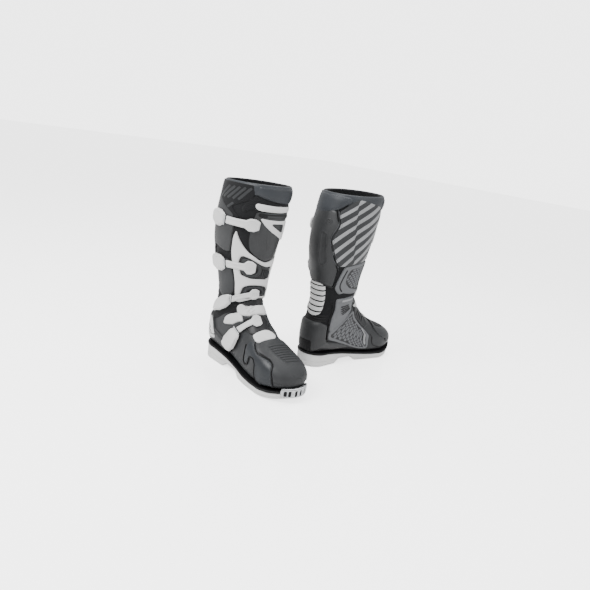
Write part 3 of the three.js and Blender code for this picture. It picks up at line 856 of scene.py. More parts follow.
SOLE_GAP = 0.5
WELT_THICK = 5.0
welt_top = lambda y: sole_top(y) - SOLE_GAP
welt_low = lambda y: sole_top(y) - SOLE_GAP - WELT_THICK
out_top = lambda y: sole_top(y) - SOLE_GAP - WELT_THICK - 0.6
mix = lambda low, high, t: (lambda y: low(y) + (high(y) - low(y)) * t)

both("welt", slab([(-12, welt_low), (1.2, welt_low), (2.2, mix(welt_low, welt_top, 0.2)),
    (2.6, mix(welt_low, welt_top, 0.5)), (2.2, mix(welt_low, welt_top, 0.8)), (1.0, welt_top),
    (-12, welt_top)]), "black", body="foot", stands_for=["welt"])


def tread_height(y):
    return np.minimum(sole_bottom(y) + 2.6, out_top(y) - 2)


outsole_parts = [slab([(-6.5, tread_height), (-5.5, sole_bottom), (-1.4, sole_bottom),
    (-0.4, lambda y: sole_bottom(y) + 1.0), (0, mix(sole_bottom, out_top, 0.34)),
    (-0.9, mix(sole_bottom, out_top, 0.38)), (-0.9, mix(sole_bottom, out_top, 0.44)),
    (0.1, mix(sole_bottom, out_top, 0.48)), (0.3, mix(sole_bottom, out_top, 0.9)), (-0.4, out_top),
    (-14, out_top)])]


def lug(x0, x1, y0, y1):
    """A tread bar on the underside."""
    ys = np.linspace(y0, y1, 3)
    points = []
    for y in ys:
        low, high = float(sole_bottom(y)), float(sole_bottom(y)) + 3.2
        points += [(x0, y, low), (x1, y, low), (x1, y, high), (x0, y, high)]
    points = np.array(points, float)
    return Shape(points, loft_faces(len(ys), 4), points[:, :2])


def half_width(y, hand):
    mine = OUTLINE[np.sign(OUTLINE[:, 0]) == hand]
    return np.abs(mine[np.argmin(np.abs(mine[:, 1] - y)), 0])


for y in list(np.arange(16, 90, 11.5)) + list(np.arange(172, 304, 11.5)):
    for hand in (1, -1):
        reach = half_width(y + 3, hand) - 8
        if reach > 9:
            ends = sorted([hand * 3.0, hand * reach])
            outsole_parts.append(lug(ends[0], ends[1], y, y + 6.5))
both("outsole", joined(outsole_parts), "sole", body="foot", stands_for=["outsole"], sharp=28)

shank_points = []
for y in (72, 100, 130, 165, 198):
    top = float(out_top(y)) - 0.6
    shank_points += [(-14, y, top), (14, y, top), (14, y, top - 1.8), (-14, y, top - 1.8)]
shank_points = np.array(shank_points, float)
both("shank", Shape(shank_points, loft_faces(5, 4), shank_points[:, :2]), "steel", body="foot",
    stands_for=["shank"])


def toe_wrap(z, turn, distance):
    """Points outside the sole's toe: a height, degrees from straight ahead, and a distance out."""
    z, turn, distance = np.broadcast_arrays(*(np.asarray(v, float) for v in (z, turn, distance)))
    angle = np.radians(90 - turn)
    across = np.where(np.cos(angle) > 0, TOE[1], TOE[-1])
    x, y = across * np.cos(angle), TOE["length"] * np.sin(angle)
    nx, ny = np.cos(angle) / across, np.sin(angle) / TOE["length"]
    size = np.hypot(nx, ny)
    return np.stack([x + nx / size * distance, TOE["y"] + y + ny / size * distance, z], -1)


PLATE = [(32, 38), (32, -38), (23, -39), (15, -34), (13.5, -20), (13, 0), (13.5, 20), (15, 34),
    (23, 39)]
SLOTS_IN_PLATE = [[(28.5, a - 3), (28.5, a + 3), (16.2, a + 3), (16.2, a - 3)] for a in (-29, -20,
    -6, 6, 20, 29)]
both("toe_plate_backing", panel([(30, 36), (30, -36), (16, -33), (15, 0), (16, 33)],
    [(0, 1.8), (1, 2.7)], 0.8, 4, surface=toe_wrap), "black", body="foot")
both("toe_plate", panel(PLATE, [(0, 3.4), (0.7, 4.5), (2, 4.7)], 2.9, 3, holes=SLOTS_IN_PLATE,
    corners=1.0, surface=toe_wrap), "steel", body="foot", stands_for=["toe_plate"])
both("toe_plate_lip", panel([(34.5, 37), (34.5, -37), (31.4, -38), (31.4, 38)],
    [(0, 3.2), (0.6, 4.4), (1.5, 4.6)], -1.5, 3, surface=toe_wrap), "steel", body="foot")
both("toe_plate_screws", joined([disc((22.8, a), [(2.3, 3.8), (2.3, 5.2), (1.6, 5.7), (0.9, 5.7),
    (0.7, 5.0)], surface=toe_wrap) for a in (-13.5, 13.5)]), "steel", body="foot")

# ---------------------------------------------------------------- ankle: soft pieces, on the foot or on no body

RINGS = [(175, 217, 225), (178, 231, 245), (181, 243, 266), (196, 248, 284), (211, 253, 302),
    (226, 258, 320), (241, 263, 338), (268, 285, 352), (300, 312, 368)]


def ring(k, phi):
    """s on one of the rings from 10 to 18, where k may lie between two of them."""
    i = int(min(math.floor(k) - 10, len(RINGS) - 2))
    t = k - 10 - i
    return rim(RINGS[i], phi) * (1 - t) + rim(RINGS[i + 1], phi) * t


def sleeve_out(t, s, phi):
    """Tucked under both shells and level between them, with soft folds at the back."""
    rise = np.clip(np.minimum(t, 1 - t) / 0.2, 0, 1)
    folds = 0.5 * np.sin(t * math.pi * 14) * np.clip((t - 0.22) / 0.1, 0,
        1) * np.clip((0.78 - t) / 0.1, 0, 1)
    return -4.2 + 3.4 * rise * rise * (3 - 2 * rise) + folds


both("ankle_sleeve", tube(lambda p: ring(10.6, p), lambda p: ring(17.4, p), sleeve_out, lambda t, s,
    p: sleeve_out(t, s, p) * 0 - 5.2, 70, 96), "textile", bend=BEND_ALL,
    stands_for=["ankle_sleeve"])


def liner_out(t, s, phi):
    quilt = 0.35 * np.cos(s * 2 * math.pi / 14) * np.cos(phi * 2 * math.pi / 15)
    return -5.4 + quilt + 1.6 * np.clip((t - 0.985) / 0.015, 0, 1)


def liner_in(t, s, phi):
    return -8.6 + 0.5 * np.cos(s * 2 * math.pi / 16) * np.cos(phi * 2 * math.pi / 20)


liner = tube(level_line(8), level_line(TOP - 1), liner_out, liner_in, 120, 72, True)
for boot in BOOTS:
    place(boot, "liner", liner, "lining", bend=BEND_ALL, stands_for=["liner"])
both("insole", panel([(205, 143), (205, 217), (130, 217), (70, 217), (40, 214), (40, 146),
    (70, 143), (130, 143)], [(0, -12), (1.5, -9.6), (4, -9.2)], -12.5, 8, surface=lambda s, phi,
    d: skin(s, phi, -np.abs(d))), "lining", body="foot", stands_for=["insole"])

FLEX = [(243, 56), (229, 57), (214, 56), (203, 50), (191, 34), (185, 16), (183, -4), (185, -20),
    (192, -38), (206, -40), (224, -40), (240, -38), (242, -20), (241, 0), (242, 20), (243, 40)]
FLEX_EDGE = [(60, 248), (46, 241), (36, 226), (20, 215), (0, 210), (-20, 211), (-44, 216)]
flex_edge = lambda phi: np.interp(phi, *np.array(FLEX_EDGE[::-1]).T)


def flex_relief(s, phi, deep):
    dark = np.clip((s - flex_edge(phi) - 0.5) / 2.5, 0, 1)
    rib = 1.2 * np.cos((s - 190 - 0.12 * phi) * 2 * math.pi / 6.4) * np.clip((phi - 14) / 8, 0,
        1) * np.clip((46 - phi) / 8, 0, 1) * (1 - dark)
    return -1.7 * dark + rib * np.clip(deep / 4, 0, 1)


both("front_flex", panel(FLEX, [(0, -0.2), (1.2, 2.4), (3, 3.4), (8, 3.7)], -1.6, 3.0,
    relief=flex_relief, kind=lambda s, phi: s > flex_edge(phi), splits=[FLEX_EDGE]),
    ["flex", "dark"], bend=BEND_FRONT, stands_for=["front_flex"])
LOBE = [(221, 54), (233, 70), (235, 82), (219, 91), (204, 78), (201, 66), (192, 56), (205, 52)]
both("flex_lobe", panel(LOBE, [(0, 0.6), (1.2, 3.0), (3, 3.8), (6, 4.0)], -0.6, 4), "flex",
    body="foot")
both("flex_lobe_ribs", joined([sweep([(224 + 2 * k - 3, 58 + 6 * k), (203 + 3.4 * k, 62 + 5.2 * k)],
    ridge(0.9, 3.4, 4.7), taper=0.6) for k in range(5)]), "flex", body="foot")

BELLOWS = [(340, 153), (343, 165), (344, 180), (343, 196), (340, 207), (330, 209), (312, 209),
    (296, 208), (285, 206), (281, 196), (280, 180), (281, 164), (285, 154), (300, 151), (320, 151)]


BELLOWS_GROOVES = [288.9 + 9.8 * k for k in range(6)]


def in_groove(s, reach):
    return np.min([np.abs(s - groove) for groove in BELLOWS_GROOVES], axis=0) < reach


def bellows_relief(s, phi, deep):
    swell = 1.25 * np.abs(np.cos((s - 284) * math.pi / 9.8)) ** 0.7 - 0.9
    return (swell - 2.2 * in_groove(s, 1.0)) * np.clip(deep / 3, 0, 1)


groove_lines = [[(151, s + step), (209, s + step)] for s in BELLOWS_GROOVES for step in (-1.3, -0.6,
    0.6, 1.3)]


both("achilles_bellows", panel(BELLOWS, [(0, -0.2), (1.4, 3.6), (3.4, 4.6), (9, 5.0)], -1.6, 2.2,
    relief=bellows_relief, kind=lambda s, phi: in_groove(s, 1.3), splits=groove_lines),
    ["flex", "dark"], bend=BEND_BACK, stands_for=["achilles_bellows"])
bands = [sweep([(s, 148), (s + 2, 165), (s + 3, 180), (s + 2, 196), (s, 214), (s - 3, 232)],
    ridge(1.7, -1.4, 1.6), taper=0.6) for s in (270.5, 274.5, 278.5)]
both("heel_bands", joined(bands), "black", bend=BEND_BACK)

GRIP_ANKLE = [(307, -120), (303, -104), (296, -84), (287, -66), (278, -62), (262, -58), (246, -55),
    (232, -53), (224, -56), (222, -70), (226, -90), (232, -106), (246, -114), (262, -115),
    (278, -116), (290, -118)]
both("grip_ankle", panel(GRIP_ANKLE, [(0, -0.2), (1.2, 2.6), (2.6, 3.6), (5, 3.6), (6, 2.7),
    (9, 2.6)], -1.6, 3.4), "grip", bend=BEND_SIDE, stands_for=["grip_ankle"])
ankle_ridges = [sweep([(283 - 7 * k, -102 + 3 * k), (268 - 7 * k, -76 + 3.5 * k)],
    ridge(1.3, 2.2, 4.1), taper=0.6) for k in range(5)]
both("grip_ankle_ridges", joined(ankle_ridges), "dark", bend=BEND_SIDE)
both("grip_ankle_bar", sweep([(297, -103), (290, -88), (281, -72)], ridge(2.4, 2.2, 4.5),
    taper=0.7), "stripe", bend=BEND_SIDE)

GRIP_FOOT = [(240, -113), (232, -92), (222, -70), (213, -54), (205, -54), (196, -63), (175, -69),
    (147, -76), (134, -82), (122, -90), (119, -100), (122, -111), (150, -118), (178, -116),
    (206, -113), (224, -112)]
foot_field = inset(smooth_loop(GRIP_FOOT), 6.4)
both("grip_foot", panel(GRIP_FOOT, [(0, 0.8), (1.2, 3.4), (2.6, 4.2), (5, 4.2), (6.4, 2.6),
    (9, 2.5)], -0.6, 3.6, kind=lambda s, phi: edge_distance(np.stack([phi, s], -1),
    foot_field) > 0), ["grip", "dark"], body="foot", stands_for=["grip_foot"])
both("grip_foot_tiles", tiles(GRIP_FOOT, 7.4, 3.7, 2.2, 3.5, 9.5), "grip", body="foot")
both("grip_foot_bar", sweep([(158, -78), (146, -86), (132, -96)], ridge(2.0, 3.6, 5.2), taper=0.7),
    "stripe", body="foot")
both("medial_seam", joined([sweep([(118, -84), (108, -90), (96, -100), (70, -108), (44, -112),
    (28, -116)], ridge(1.0, -0.4, 1.1)), sweep([(300, -126), (278, -121), (252, -119), (236, -118)],
    ridge(1.2, -0.4, 1.3)),]), "black", body="foot")
TONGUE_END = [(208, -44), (200, -59), (190, -64), (176, -66), (160, -72), (142, -72), (136, -62),
    (142, -40), (156, -26), (178, -26), (196, -34)]
both("strap_anchor", panel(TONGUE_END, [(0, 0.4), (1.0, 2.4), (2.2, 3.2), (3.6, 3.2), (4.6, 2.2),
    (7, 2.2)], -0.6, 4), "upper", body="foot")
both("strap_anchor_bars", joined([sweep([(190 - 9 * k, -58 - 1.5 * k), (183 - 9 * k, -40)],
    ridge(1.5, 1.8, 3.6), taper=0.6) for k in range(4)]), "dark", body="foot")
CRADLE_4 = [(196, 54), (192, 36), (186, 14), (176, -2), (162, -12), (148, -12), (136, 4), (134, 22),
    (140, 40), (152, 52), (172, 60), (188, 62)]
both("cradle_4", panel(CRADLE_4, [(0, 0.3), (1.0, 2.6), (2.2, 3.8), (4, 3.8), (5, 2.0), (8, 1.8)],
    -0.6, 4), "dark", body="foot")

# ---------------------------------------------------------------- cuff

shell_out, shell_in = rolled(0, -3, 0.02, 0, 1.4)
both("calf_shell", tube(lambda p: rim(CUFF_RIM, p), level_line(COLLAR_LOW + 1), shell_out, shell_in,
    80, 96), "textile", body="cuff", stands_for=["calf_shell"])


def collar_out(t, s, phi):
    u = np.clip((1 - t) / 0.35, 0, 1)
    front = np.clip(np.cos(np.radians(phi)), 0, 1)
    return 0.3 + (1.4 + 0.8 * front) * np.sin(np.clip(t, 0,
        1) * math.pi) ** 0.6 - 2.6 * (1 - np.sqrt(u * (2 - u)))


collar = tube(level_line(COLLAR_LOW), level_line(TOP + 1), collar_out, fill(-3.4), 24, 120)
for boot in BOOTS:
    place(boot, "collar", collar, "collar", body="cuff", stands_for=["collar"])

pillow = [(0, 0.2), (1.2, 1.8), (3.5, 3.2), (9, 4.3), (16, 4.6)]
COLLAR_FRONT = [(527, 44), (528, 10), (527, -30), (525, -60), (512, -64), (500, -46), (495, -34),
    (496, -10), (499, 14), (504, 34), (510, 46)]
COLLAR_BACK = [(526, 136), (527, 170), (527, 200), (526, 226), (518, 232), (504, 216), (494, 206),
    (486, 190), (481, 170), (479, 152), (484, 138), (506, 132)]
both("collar_front_pad", panel(COLLAR_FRONT, pillow, -0.6, 5), "collar", body="cuff")
both("collar_back_pad", panel(COLLAR_BACK, [(0, 0.2), (1.2, 2.6), (3.5, 4.0), (9, 4.9), (16, 5.2)],
    -0.6, 5), "collar", body="cuff")
both("collar_stitches", joined([stitches([(523, 40), (524, 10), (523, -28), (521, -56)], 3.4),
    stitches([(500, -30), (501, -8), (504, 14), (509, 34)], 3.7),
    stitches([(484, 150), (486, 170), (491, 190), (499, 206)], 4.3),
    stitches([(523, 140), (524, 170), (524, 200), (523, 222)], 4.0),]), "thread", body="cuff")


def band_relief(s, phi, deep):
    """Gathered elastic: folds that run round the boot and waver."""
    wave = np.sin(s * 2 * math.pi / 5.4 + 1.3 * np.sin(phi / 7.0) + 0.8 * np.sin(phi / 3.1))
    return 0.75 * wave * np.clip(deep / 3, 0, 1)


BAND = [(506, 47), (499, 20), (495, -10), (493, -40), (484, -44), (482, -20), (484, 10), (484, 34),
    (478, 50), (470, 60), (478, 66), (494, 58)]
both("elastic_band", panel(BAND, [(0, 0.2), (1.4, 1.8), (4, 2.6)], -0.6, 2.2, relief=band_relief),
    "textile", body="cuff")
both("white_bar", panel([(494, 43), (492, 10), (491, -20), (491, -37), (479, -38), (478, -14),
    (478, 10), (479, 34), (484, 43)], [(0, 0.6), (0.9, 3.2), (2.2, 4.0), (5, 4.2)], -0.6, 5),
    "white", body="cuff")

TEXTILE = [(527, 132), (528, 110), (528, 80), (527, 50), (514, 47), (498, 49), (488, 70), (478, 84),
    (466, 74), (458, 64), (450, 70), (462, 92), (478, 112), (492, 126), (504, 136)]
both("side_textile", panel(TEXTILE, [(0, 0.2), (1.0, 1.8), (3, 2.4)], -0.6, 5), "textile",
    body="cuff")
bars = [sweep([(492 + 0.5 * k, 118 - 11 * k), (519 + 0.3 * k, 96 - 10.4 * k)], ridge(2.8, 1.9, 2.9),
    taper=0.8) for k in range(5)]
bars += [sweep([(474, 92), (486, 82)], ridge(2.8, 1.9, 2.9), taper=0.8)]
both("side_textile_bars", joined(bars), "upper", body="cuff")
both("side_textile_edge", sweep([(528, 134), (505, 138), (492, 128), (478, 114), (462, 94),
    (449, 71), (457, 62)], ridge(1.3, 0.2, 3.0)), "dark", body="cuff")

SHIN = [(476, 38), (478, 20), (478, 0), (478, -20), (475, -44), (456, -45), (430, -44), (400, -44),
    (381, -43), (373, -30), (366, -14), (362, 2), (368, 14), (377, 26), (390, 38), (410, 42),
    (440, 42), (462, 40)]


def shin_relief(s, phi, deep):
    """A crease down each side of a flatter middle, narrowing towards the lower tip."""
    spread = np.interp(s, [362, 400, 478], [6, 15, 22])
    off = np.abs(phi + 3) - spread
    return (1.2 - 0.16 * np.clip(off, 0, 20)) * np.clip(deep / 6, 0, 1)


both("shin_plate", panel(SHIN, [(0, 0.6), (1.2, 2.9), (3, 3.5)], -0.6, 4, relief=shin_relief,
    splits=[[(-25, 474), (-20, 420), (-9, 366)], [(19, 474), (14, 420), (3, 366)]]), "panel",
    body="cuff", stands_for=["shin_plate"], sharp=24)
both("shin_slot", panel([(474, 36), (475, 0), (474, -34), (466, -33), (465, 0), (466, 33)],
    [(0, 3.4), (0.8, 4.8), (2, 4.6)], 2, 4), "black", body="cuff")
both("shin_creases", joined([
    sweep([(438, 15), (410, 9), (388, 3)], ridge(0.9, 3.8, 5.2), taper=0.5),
    sweep([(424, -26), (398, -20), (380, -14)], ridge(0.9, 3.4, 4.8), taper=0.5),
]), "panel", body="cuff")
VENT = [(464, 31), (462, 10), (461, -12), (462, -30), (446, -33), (430, -35), (417, -36),
    (414, -32), (420, -18), (432, 2), (446, 18)]
VENT_HOLE = [(453, 9), (453, -4), (452, -22), (440, -24), (433, -24), (436, -14), (445, 0)]
both("shin_vent", panel(VENT, [(0, 3.6), (0.8, 5.8), (2, 6.4), (5, 6.5)], 2.2, 4,
    holes=[VENT_HOLE]), "white", body="cuff", stands_for=["shin_vent"])
both("vent_fins", joined([sweep([(453 - 5 * k, 17 - 7 * k), (450 - 5 * k, -25 - k)],
    ridge(1.0, 2.6, 4.8), taper=0.6) for k in range(5)]), "dark", body="cuff")

SPEAR = [(431, 67), (416, 71), (386, 73), (366, 72), (350, 70), (316, 66), (294, 64), (268, 60),
    (256, 57), (250, 50), (247, 36), (244, 18), (243, 0), (245, -20), (250, -38), (276, -40),
    (300, -40), (320, -40), (346, -39), (368, -38), (371, -32), (365, -14), (361, 2), (367, 16),
    (376, 27), (384, 38), (398, 50), (414, 60)]
WINDOW_2 = [(377, 52), (372, 38), (363, 24), (353, 8), (348, -8), (350, -30), (322, -33),
    (314, -12), (316, 10), (319, 30), (330, 52), (350, 56), (366, 57)]
WINDOW_3 = [(297, 45), (299, 30), (295, 6), (290, -14), (286, -33), (256, -32), (250, -10),
    (250, 14), (252, 34), (262, 46), (280, 49)]
both("front_frame", panel(SPEAR, [(0, 1.0), (1.0, 3.4), (2.4, 4.4), (6, 4.7)], -0.6, 3.6,
    holes=[WINDOW_2, WINDOW_3]), "white", body="cuff", stands_for=["front_frame"])
both("window_2", panel([(380, 55), (374, 38), (364, 22), (355, 8), (350, -8), (353, -36),
    (318, -38), (311, -12), (312, 12), (316, 32), (328, 56), (350, 60)], [(0, 0.4), (1, 1.4)], -0.6,
    5), "dark", body="cuff")
both("window_3", panel([(300, 50), (302, 30), (298, 4), (292, -14), (289, -38), (247, -37),
    (246, -10), (246, 14), (248, 36), (256, 52), (280, 54)], [(0, 0.4), (1, 1.4)], -0.6, 5), "dark",
    body="cuff")


def ring_panel(outline, hole, low=0.8):
    return panel(outline, [(0, low), (0.9, 3.4), (2, 4.3), (3.4, 4.3)], low, 3, holes=[hole])


both("cradle_2", ring_panel([(371, 50), (369, 34), (363, 22), (352, 10), (338, 4), (326, 8),
    (320, 20), (323, 38), (333, 50), (350, 54)], [(361, 44), (360, 32), (352, 20), (340, 14),
    (331, 19), (331, 34), (340, 45), (350, 47)]), "upper", body="cuff")
both("cradle_3", ring_panel([(293, 40), (295, 24), (290, 4), (280, -12), (264, -17), (253, -12),
    (250, 6), (251, 24), (260, 38), (276, 43)], [(284, 33), (285, 16), (278, 2), (266, -7),
    (259, -3), (258, 12), (262, 28), (272, 34)]), "upper", body="cuff")
window_ribs = [sweep([(342 - 1.2 * k, 0 - 5.4 * k), (320 - 0.6 * k, 1 - 5.4 * k)],
    ridge(1.6, 1.0, 3.3), taper=0.7) for k in range(6)]
window_ribs += [sweep([(284 - 1.0 * k, -18 - 4.8 * k), (258 - 0.4 * k, -18 - 4.8 * k)],
    ridge(1.5, 1.0, 3.3), taper=0.7) for k in range(3)]
both("window_ribs", joined(window_ribs), "upper", body="cuff")

CALF = [(462, 76), (469, 86), (480, 100), (492, 116), (501, 131), (499, 148), (496, 170),
    (494, 190), (492, 205), (478, 210), (460, 219), (446, 212), (434, 207), (412, 216), (390, 225),
    (372, 233), (352, 230), (334, 226), (338, 212), (342, 200), (343, 180), (344, 164), (353, 148),
    (374, 132), (395, 117), (389, 100), (384, 90), (382, 77), (404, 74), (436, 73)]
GROOVE = np.array([(185, 444), (198, 442), (207, 386), (193, 381), (188, 400)], float)


def calf_relief(s, phi, deep):
    into = edge_distance(np.stack([phi, s], -1), GROOVE)
    facet = np.clip((s - (372 + 0.35 * np.abs(phi - 185))) / 14, 0, 1)
    return -2.2 * np.clip(into / 2.2, 0, 1) + (facet - 1) * 0.9 * np.clip(deep / 5, 0, 1)


both("calf_plate", panel(CALF, [(0, 0.6), (1.2, 3.0), (3, 3.6)], -0.6, 3.4, relief=calf_relief,
    splits=[np.concatenate([GROOVE, GROOVE[:1]])]), "panel", body="cuff", stands_for=["calf_plate"])
both("calf_groove_rim", sweep([(446, 184), (443, 200), (385, 209), (378, 192), (400, 186)],
    ridge(1.0, 2.8, 4.3), closed=True), "panel", body="cuff")
both("calf_boss", disc((466, 196), [(8.5, 2.6), (8.5, 4.4), (7.6, 5.0), (5.6, 5.0), (4.8, 4.2),
    (2.4, 4.2), (1.6, 4.8)], 28), "panel", body="cuff")
both("calf_edge", joined([sweep([(494, 207), (478, 212), (461, 221), (446, 214), (434, 209),
    (412, 218), (390, 227), (371, 235)], ridge(1.2, 0.2, 4.3)),
    sweep([(343, 232), (332, 228), (337, 213), (341, 200), (342, 180), (343, 163), (352, 147),
    (373, 131), (394, 116)], ridge(1.0, 0.2, 2.9)),]), "dark", body="cuff")
both("calf_tab", panel([(366, 120), (368, 128), (362, 138), (352, 138), (350, 128), (356, 120)],
    [(0, 2.4), (0.8, 4.6), (2, 5.2)], 1, 4), "black", body="cuff")

MEDIAL = [(490, -150), (474, -144), (461, -140), (446, -146), (430, -151), (411, -145), (389, -134),
    (378, -124), (377, -108), (378, -80), (379, -47), (410, -46), (450, -45), (482, -45),
    (500, -56), (508, -64), (514, -84), (521, -104), (524, -119), (514, -132)]


def stripe_edges(k):
    """The upper and lower edge of one light stripe, as lines of (phi, s)."""
    base = 480 - 26 * k
    step = -119 + 4 * k
    lines = []
    for drop, grow in ((0, 0), (-10.5, -0.09)):
        at = lambda phi, lift: base + drop + 1.02 * (phi + 150) + lift + grow * max(0, phi - step)
        lines.append([(-160, at(-160, 0)), (step, at(step, 0)), (step + 1.2, at(step + 1.2, 7)),
            (-40, at(-40, 7))])
    return lines


STRIPES = [stripe_edges(k) for k in range(-1, 8)]


def stripe_kind(s, phi):
    found = np.zeros(len(s), int)
    for upper, lower in STRIPES:
        high, low = (np.interp(phi, *np.array(line).T) for line in (upper, lower))
        found |= (s < high) & (s > low)
    return found


both("medial_panel", panel(MEDIAL, [(0, 0.4), (1.0, 2.6), (3, 3.2)], -0.6, 5, kind=stripe_kind,
    splits=[line for pair in STRIPES for line in pair]), ["upper", "stripe"], body="cuff",
    stands_for=["medial_panel"])
both("medial_edge", joined([sweep([(492, -151), (475, -146), (461, -142), (446, -148), (430, -153),
    (411, -147), (388, -136), (377, -125)], ridge(1.1, 0.2, 3.4)),
    stitches([(486, -146), (473, -140), (460, -136), (446, -142), (431, -146), (413, -141),
    (391, -130), (381, -121)], 3.4),]), "thread", body="cuff")

GRIP_UPPER = [(377, -111), (378, -80), (377, -47), (352, -46), (320, -49), (296, -51), (291, -60),
    (303, -84), (315, -104), (315, -116), (330, -129), (352, -121)]
GRIP_FIELD = [(369, -98), (370, -56), (352, -53), (324, -55), (303, -58), (304, -64), (322, -92),
    (338, -104), (356, -104)]
field = smooth_loop(GRIP_FIELD)


def grip_relief(s, phi, deep):
    into = edge_distance(np.stack([phi, s], -1), field)
    return -1.9 * np.clip(into / 2.0, 0, 1)


both("grip_upper", panel(GRIP_UPPER, [(0, 0.6), (1.3, 3.4), (3, 4.3), (7, 4.5)], -0.6, 3.4,
    relief=grip_relief, kind=lambda s, phi: edge_distance(np.stack([phi, s], -1), field) > 0,
    splits=[np.concatenate([field, field[:1]])]), ["grip", "dark"], body="cuff",
    stands_for=["grip_upper"])
both("grip_upper_tiles", tiles(GRIP_FIELD, 7.8, 3.9, 2.2, 3.7, 3.6), "grip", body="cuff")
both("grip_upper_line", sweep([(370, -105), (352, -112), (333, -118), (320, -109)],
    ridge(1.6, 3.6, 4.9), taper=0.6), "black", body="cuff")
both("side_recess", panel([(350, 104), (352, 120), (338, 132), (318, 128), (302, 114), (284, 92),
    (276, 74), (292, 68), (320, 70), (350, 76), (366, 80), (370, 92)],
    [(0, 0.0), (1.0, 0.9), (3, 1.2)], -0.6, 5), "upper", body="cuff")

# ---------------------------------------------------------------- buckles

# Where each strap's head is held, where its lever is hinged and ends, and half-widths.
BUCKLES = [{"head": (446, 28), "hinge": (448, 89), "tip": (450, 131), "head_half": 14,
    "strap_half": 8, "lever_half": 17, "body": "cuff"}, {"head": (345, 21), "hinge": (357, 85),
    "tip": (362, 128), "head_half": 17, "strap_half": 8, "lever_half": 17, "body": "cuff"},
    {"head": (258, 4), "hinge": (267, 67), "tip": (273, 112), "head_half": 21, "strap_half": 9,
    "lever_half": 17, "body": "cuff"}, {"head": (164, 10), "hinge": (186, 76), "tip": (191, 115),
    "head_half": 16, "strap_half": 7, "lever_half": 13, "body": "foot"},]
HINGE_LEVEL = 8.4


def along_strip(start, end, rows):
    """An outline of (s, phi) round a strip. rows are (part of the way, half-width)."""
    upper = [(start[0] + (end[0] - start[0]) * t + half, start[1] + (end[1] - start[1]) * t) for t,
        half in rows]
    lower = [(start[0] + (end[0] - start[0]) * t - half, start[1] + (end[1] - start[1]) * t) for t,
        half in rows]
    return upper + lower[::-1]


def barrel(spot, level, radius, half, sides=16):
    """A pin along the boot at a place, with its ends rounded off."""
    s, phi = spot
    a, b = skin([s - half], [phi], [level])[0], skin([s + half], [phi], [level])[0]
    along = (b - a) / np.linalg.norm(b - a)
    up = skin([s], [phi], [level + 4])[0] - skin([s], [phi], [level])[0]
    up -= along * (up @ along)
    up /= np.linalg.norm(up)
    other = np.cross(along, up)
    turns = np.arange(sides) * 2 * math.pi / sides
    circle = np.cos(turns)[:, None] * up + np.sin(turns)[:, None] * other
    length = np.linalg.norm(b - a)
    stations = [(0, 0.7), (0.6, 1), (length - 0.6, 1), (length, 0.7)]
    points = np.concatenate([a + along * at + circle * radius * size for at, size in stations])
    return Shape(points, loft_faces(len(stations), sides), points[:, :2])


for number, buckle in enumerate(BUCKLES, 1):
    head, hinge, tip = buckle["head"], buckle["hinge"], buckle["tip"]
    head_half, strap_half = buckle["head_half"], buckle["strap_half"]
    lever_half = buckle["lever_half"]
    strap_end = (hinge[0], hinge[1] - 1.6)
    outline = along_strip(head, strap_end, [(0, head_half * 0.62), (0.13, head_half),
        (0.29, head_half), (0.4, strap_half * 1.1), (0.7, strap_half), (1, strap_half)])
    strap = panel(outline, [(0, 5.6), (0.7, 7.1), (3.4, 8.5), (4.2, 8.5), (5.0, 7.7), (12, 7.7)],
        4.9, 2.6, corners=0.7, fine=1.2)
    dots = []
    for du in (0.1, 0.17, 0.24, 0.31):
        for dv in (-6, -2, 2, 6):
            spot = (head[0] + (hinge[0] - head[0]) * du + dv, head[1] + (hinge[1] - head[1]) * du)
            dots.append(disc(spot, [(1.1, 7.0), (1.1, 8.3), (0.6, 8.7)], 8))
    rails = [sweep([(head[0] + (hinge[0] - head[0]) * 0.5 + side,
        head[1] + (hinge[1] - head[1]) * 0.5), (hinge[0] + side, hinge[1] - 3)],
        ridge(0.9, 6.6, 8.3), taper=0.7) for side in (-strap_half * 0.42, strap_half * 0.42)]
    both(f"strap_{number}", joined([strap] + dots + rails), "white", body=f"strap_{number}",
        stands_for=[f"strap_{number}"])

    start = (hinge[0], hinge[1] + 1.6)
    waist = strap_half + 3
    outline = along_strip(start, tip, [(0, waist), (0.2, lever_half), (0.54, lever_half),
        (0.7, lever_half * 0.8), (0.86, lever_half * 0.78), (1, lever_half * 0.5)])
    lever = panel(outline, [(0, 6.0), (0.7, 8.0), (4.2, 10.6), (9, 10.9)], 5.3, 2.8, corners=0.7,
        fine=1.2)
    span = lambda t, dv: (start[0] + (tip[0] - start[0]) * t + dv,
        start[1] + (tip[1] - start[1]) * t)
    ridges = [sweep([span(t, -lever_half * w), span(t, lever_half * w)], ridge(1.1, 9.2, 11.2),
        taper=0.6) for t, w in ((0.3, 0.5), (0.4, 0.5), (0.56, 0.72), (0.65, 0.62), (0.74, 0.56),
        (0.83, 0.5))]
    ridges += [sweep([span(0.16, dv), span(0.5, dv * 1.05)], ridge(1.2, 9.0, 11.3),
        taper=0.6) for dv in (-lever_half * 0.72, lever_half * 0.72)]
    both(f"lever_{number}", joined([lever] + ridges), "white", body=f"lever_{number}",
        stands_for=[f"lever_{number}"])
    both(f"lever_{number}_pin", barrel(hinge, HINGE_LEVEL, 1.7, waist + 0.5), "steel",
        body=f"lever_{number}")
    base = along_strip((hinge[0], hinge[1] + 3), (tip[0], tip[1] + 5),
        [(0, strap_half), (0.2, lever_half * 0.78), (0.6, lever_half * 0.8), (1, lever_half * 0.5)])
    low = 2.6 if number == 1 else 0.8
    both(f"catch_{number}", panel(base, [(0, low), (0.8, 4.2), (2, 4.9)], -0.4, 4, corners=2.5),
        "black", body=buckle["body"])

# ---------------------------------------------------------------- room

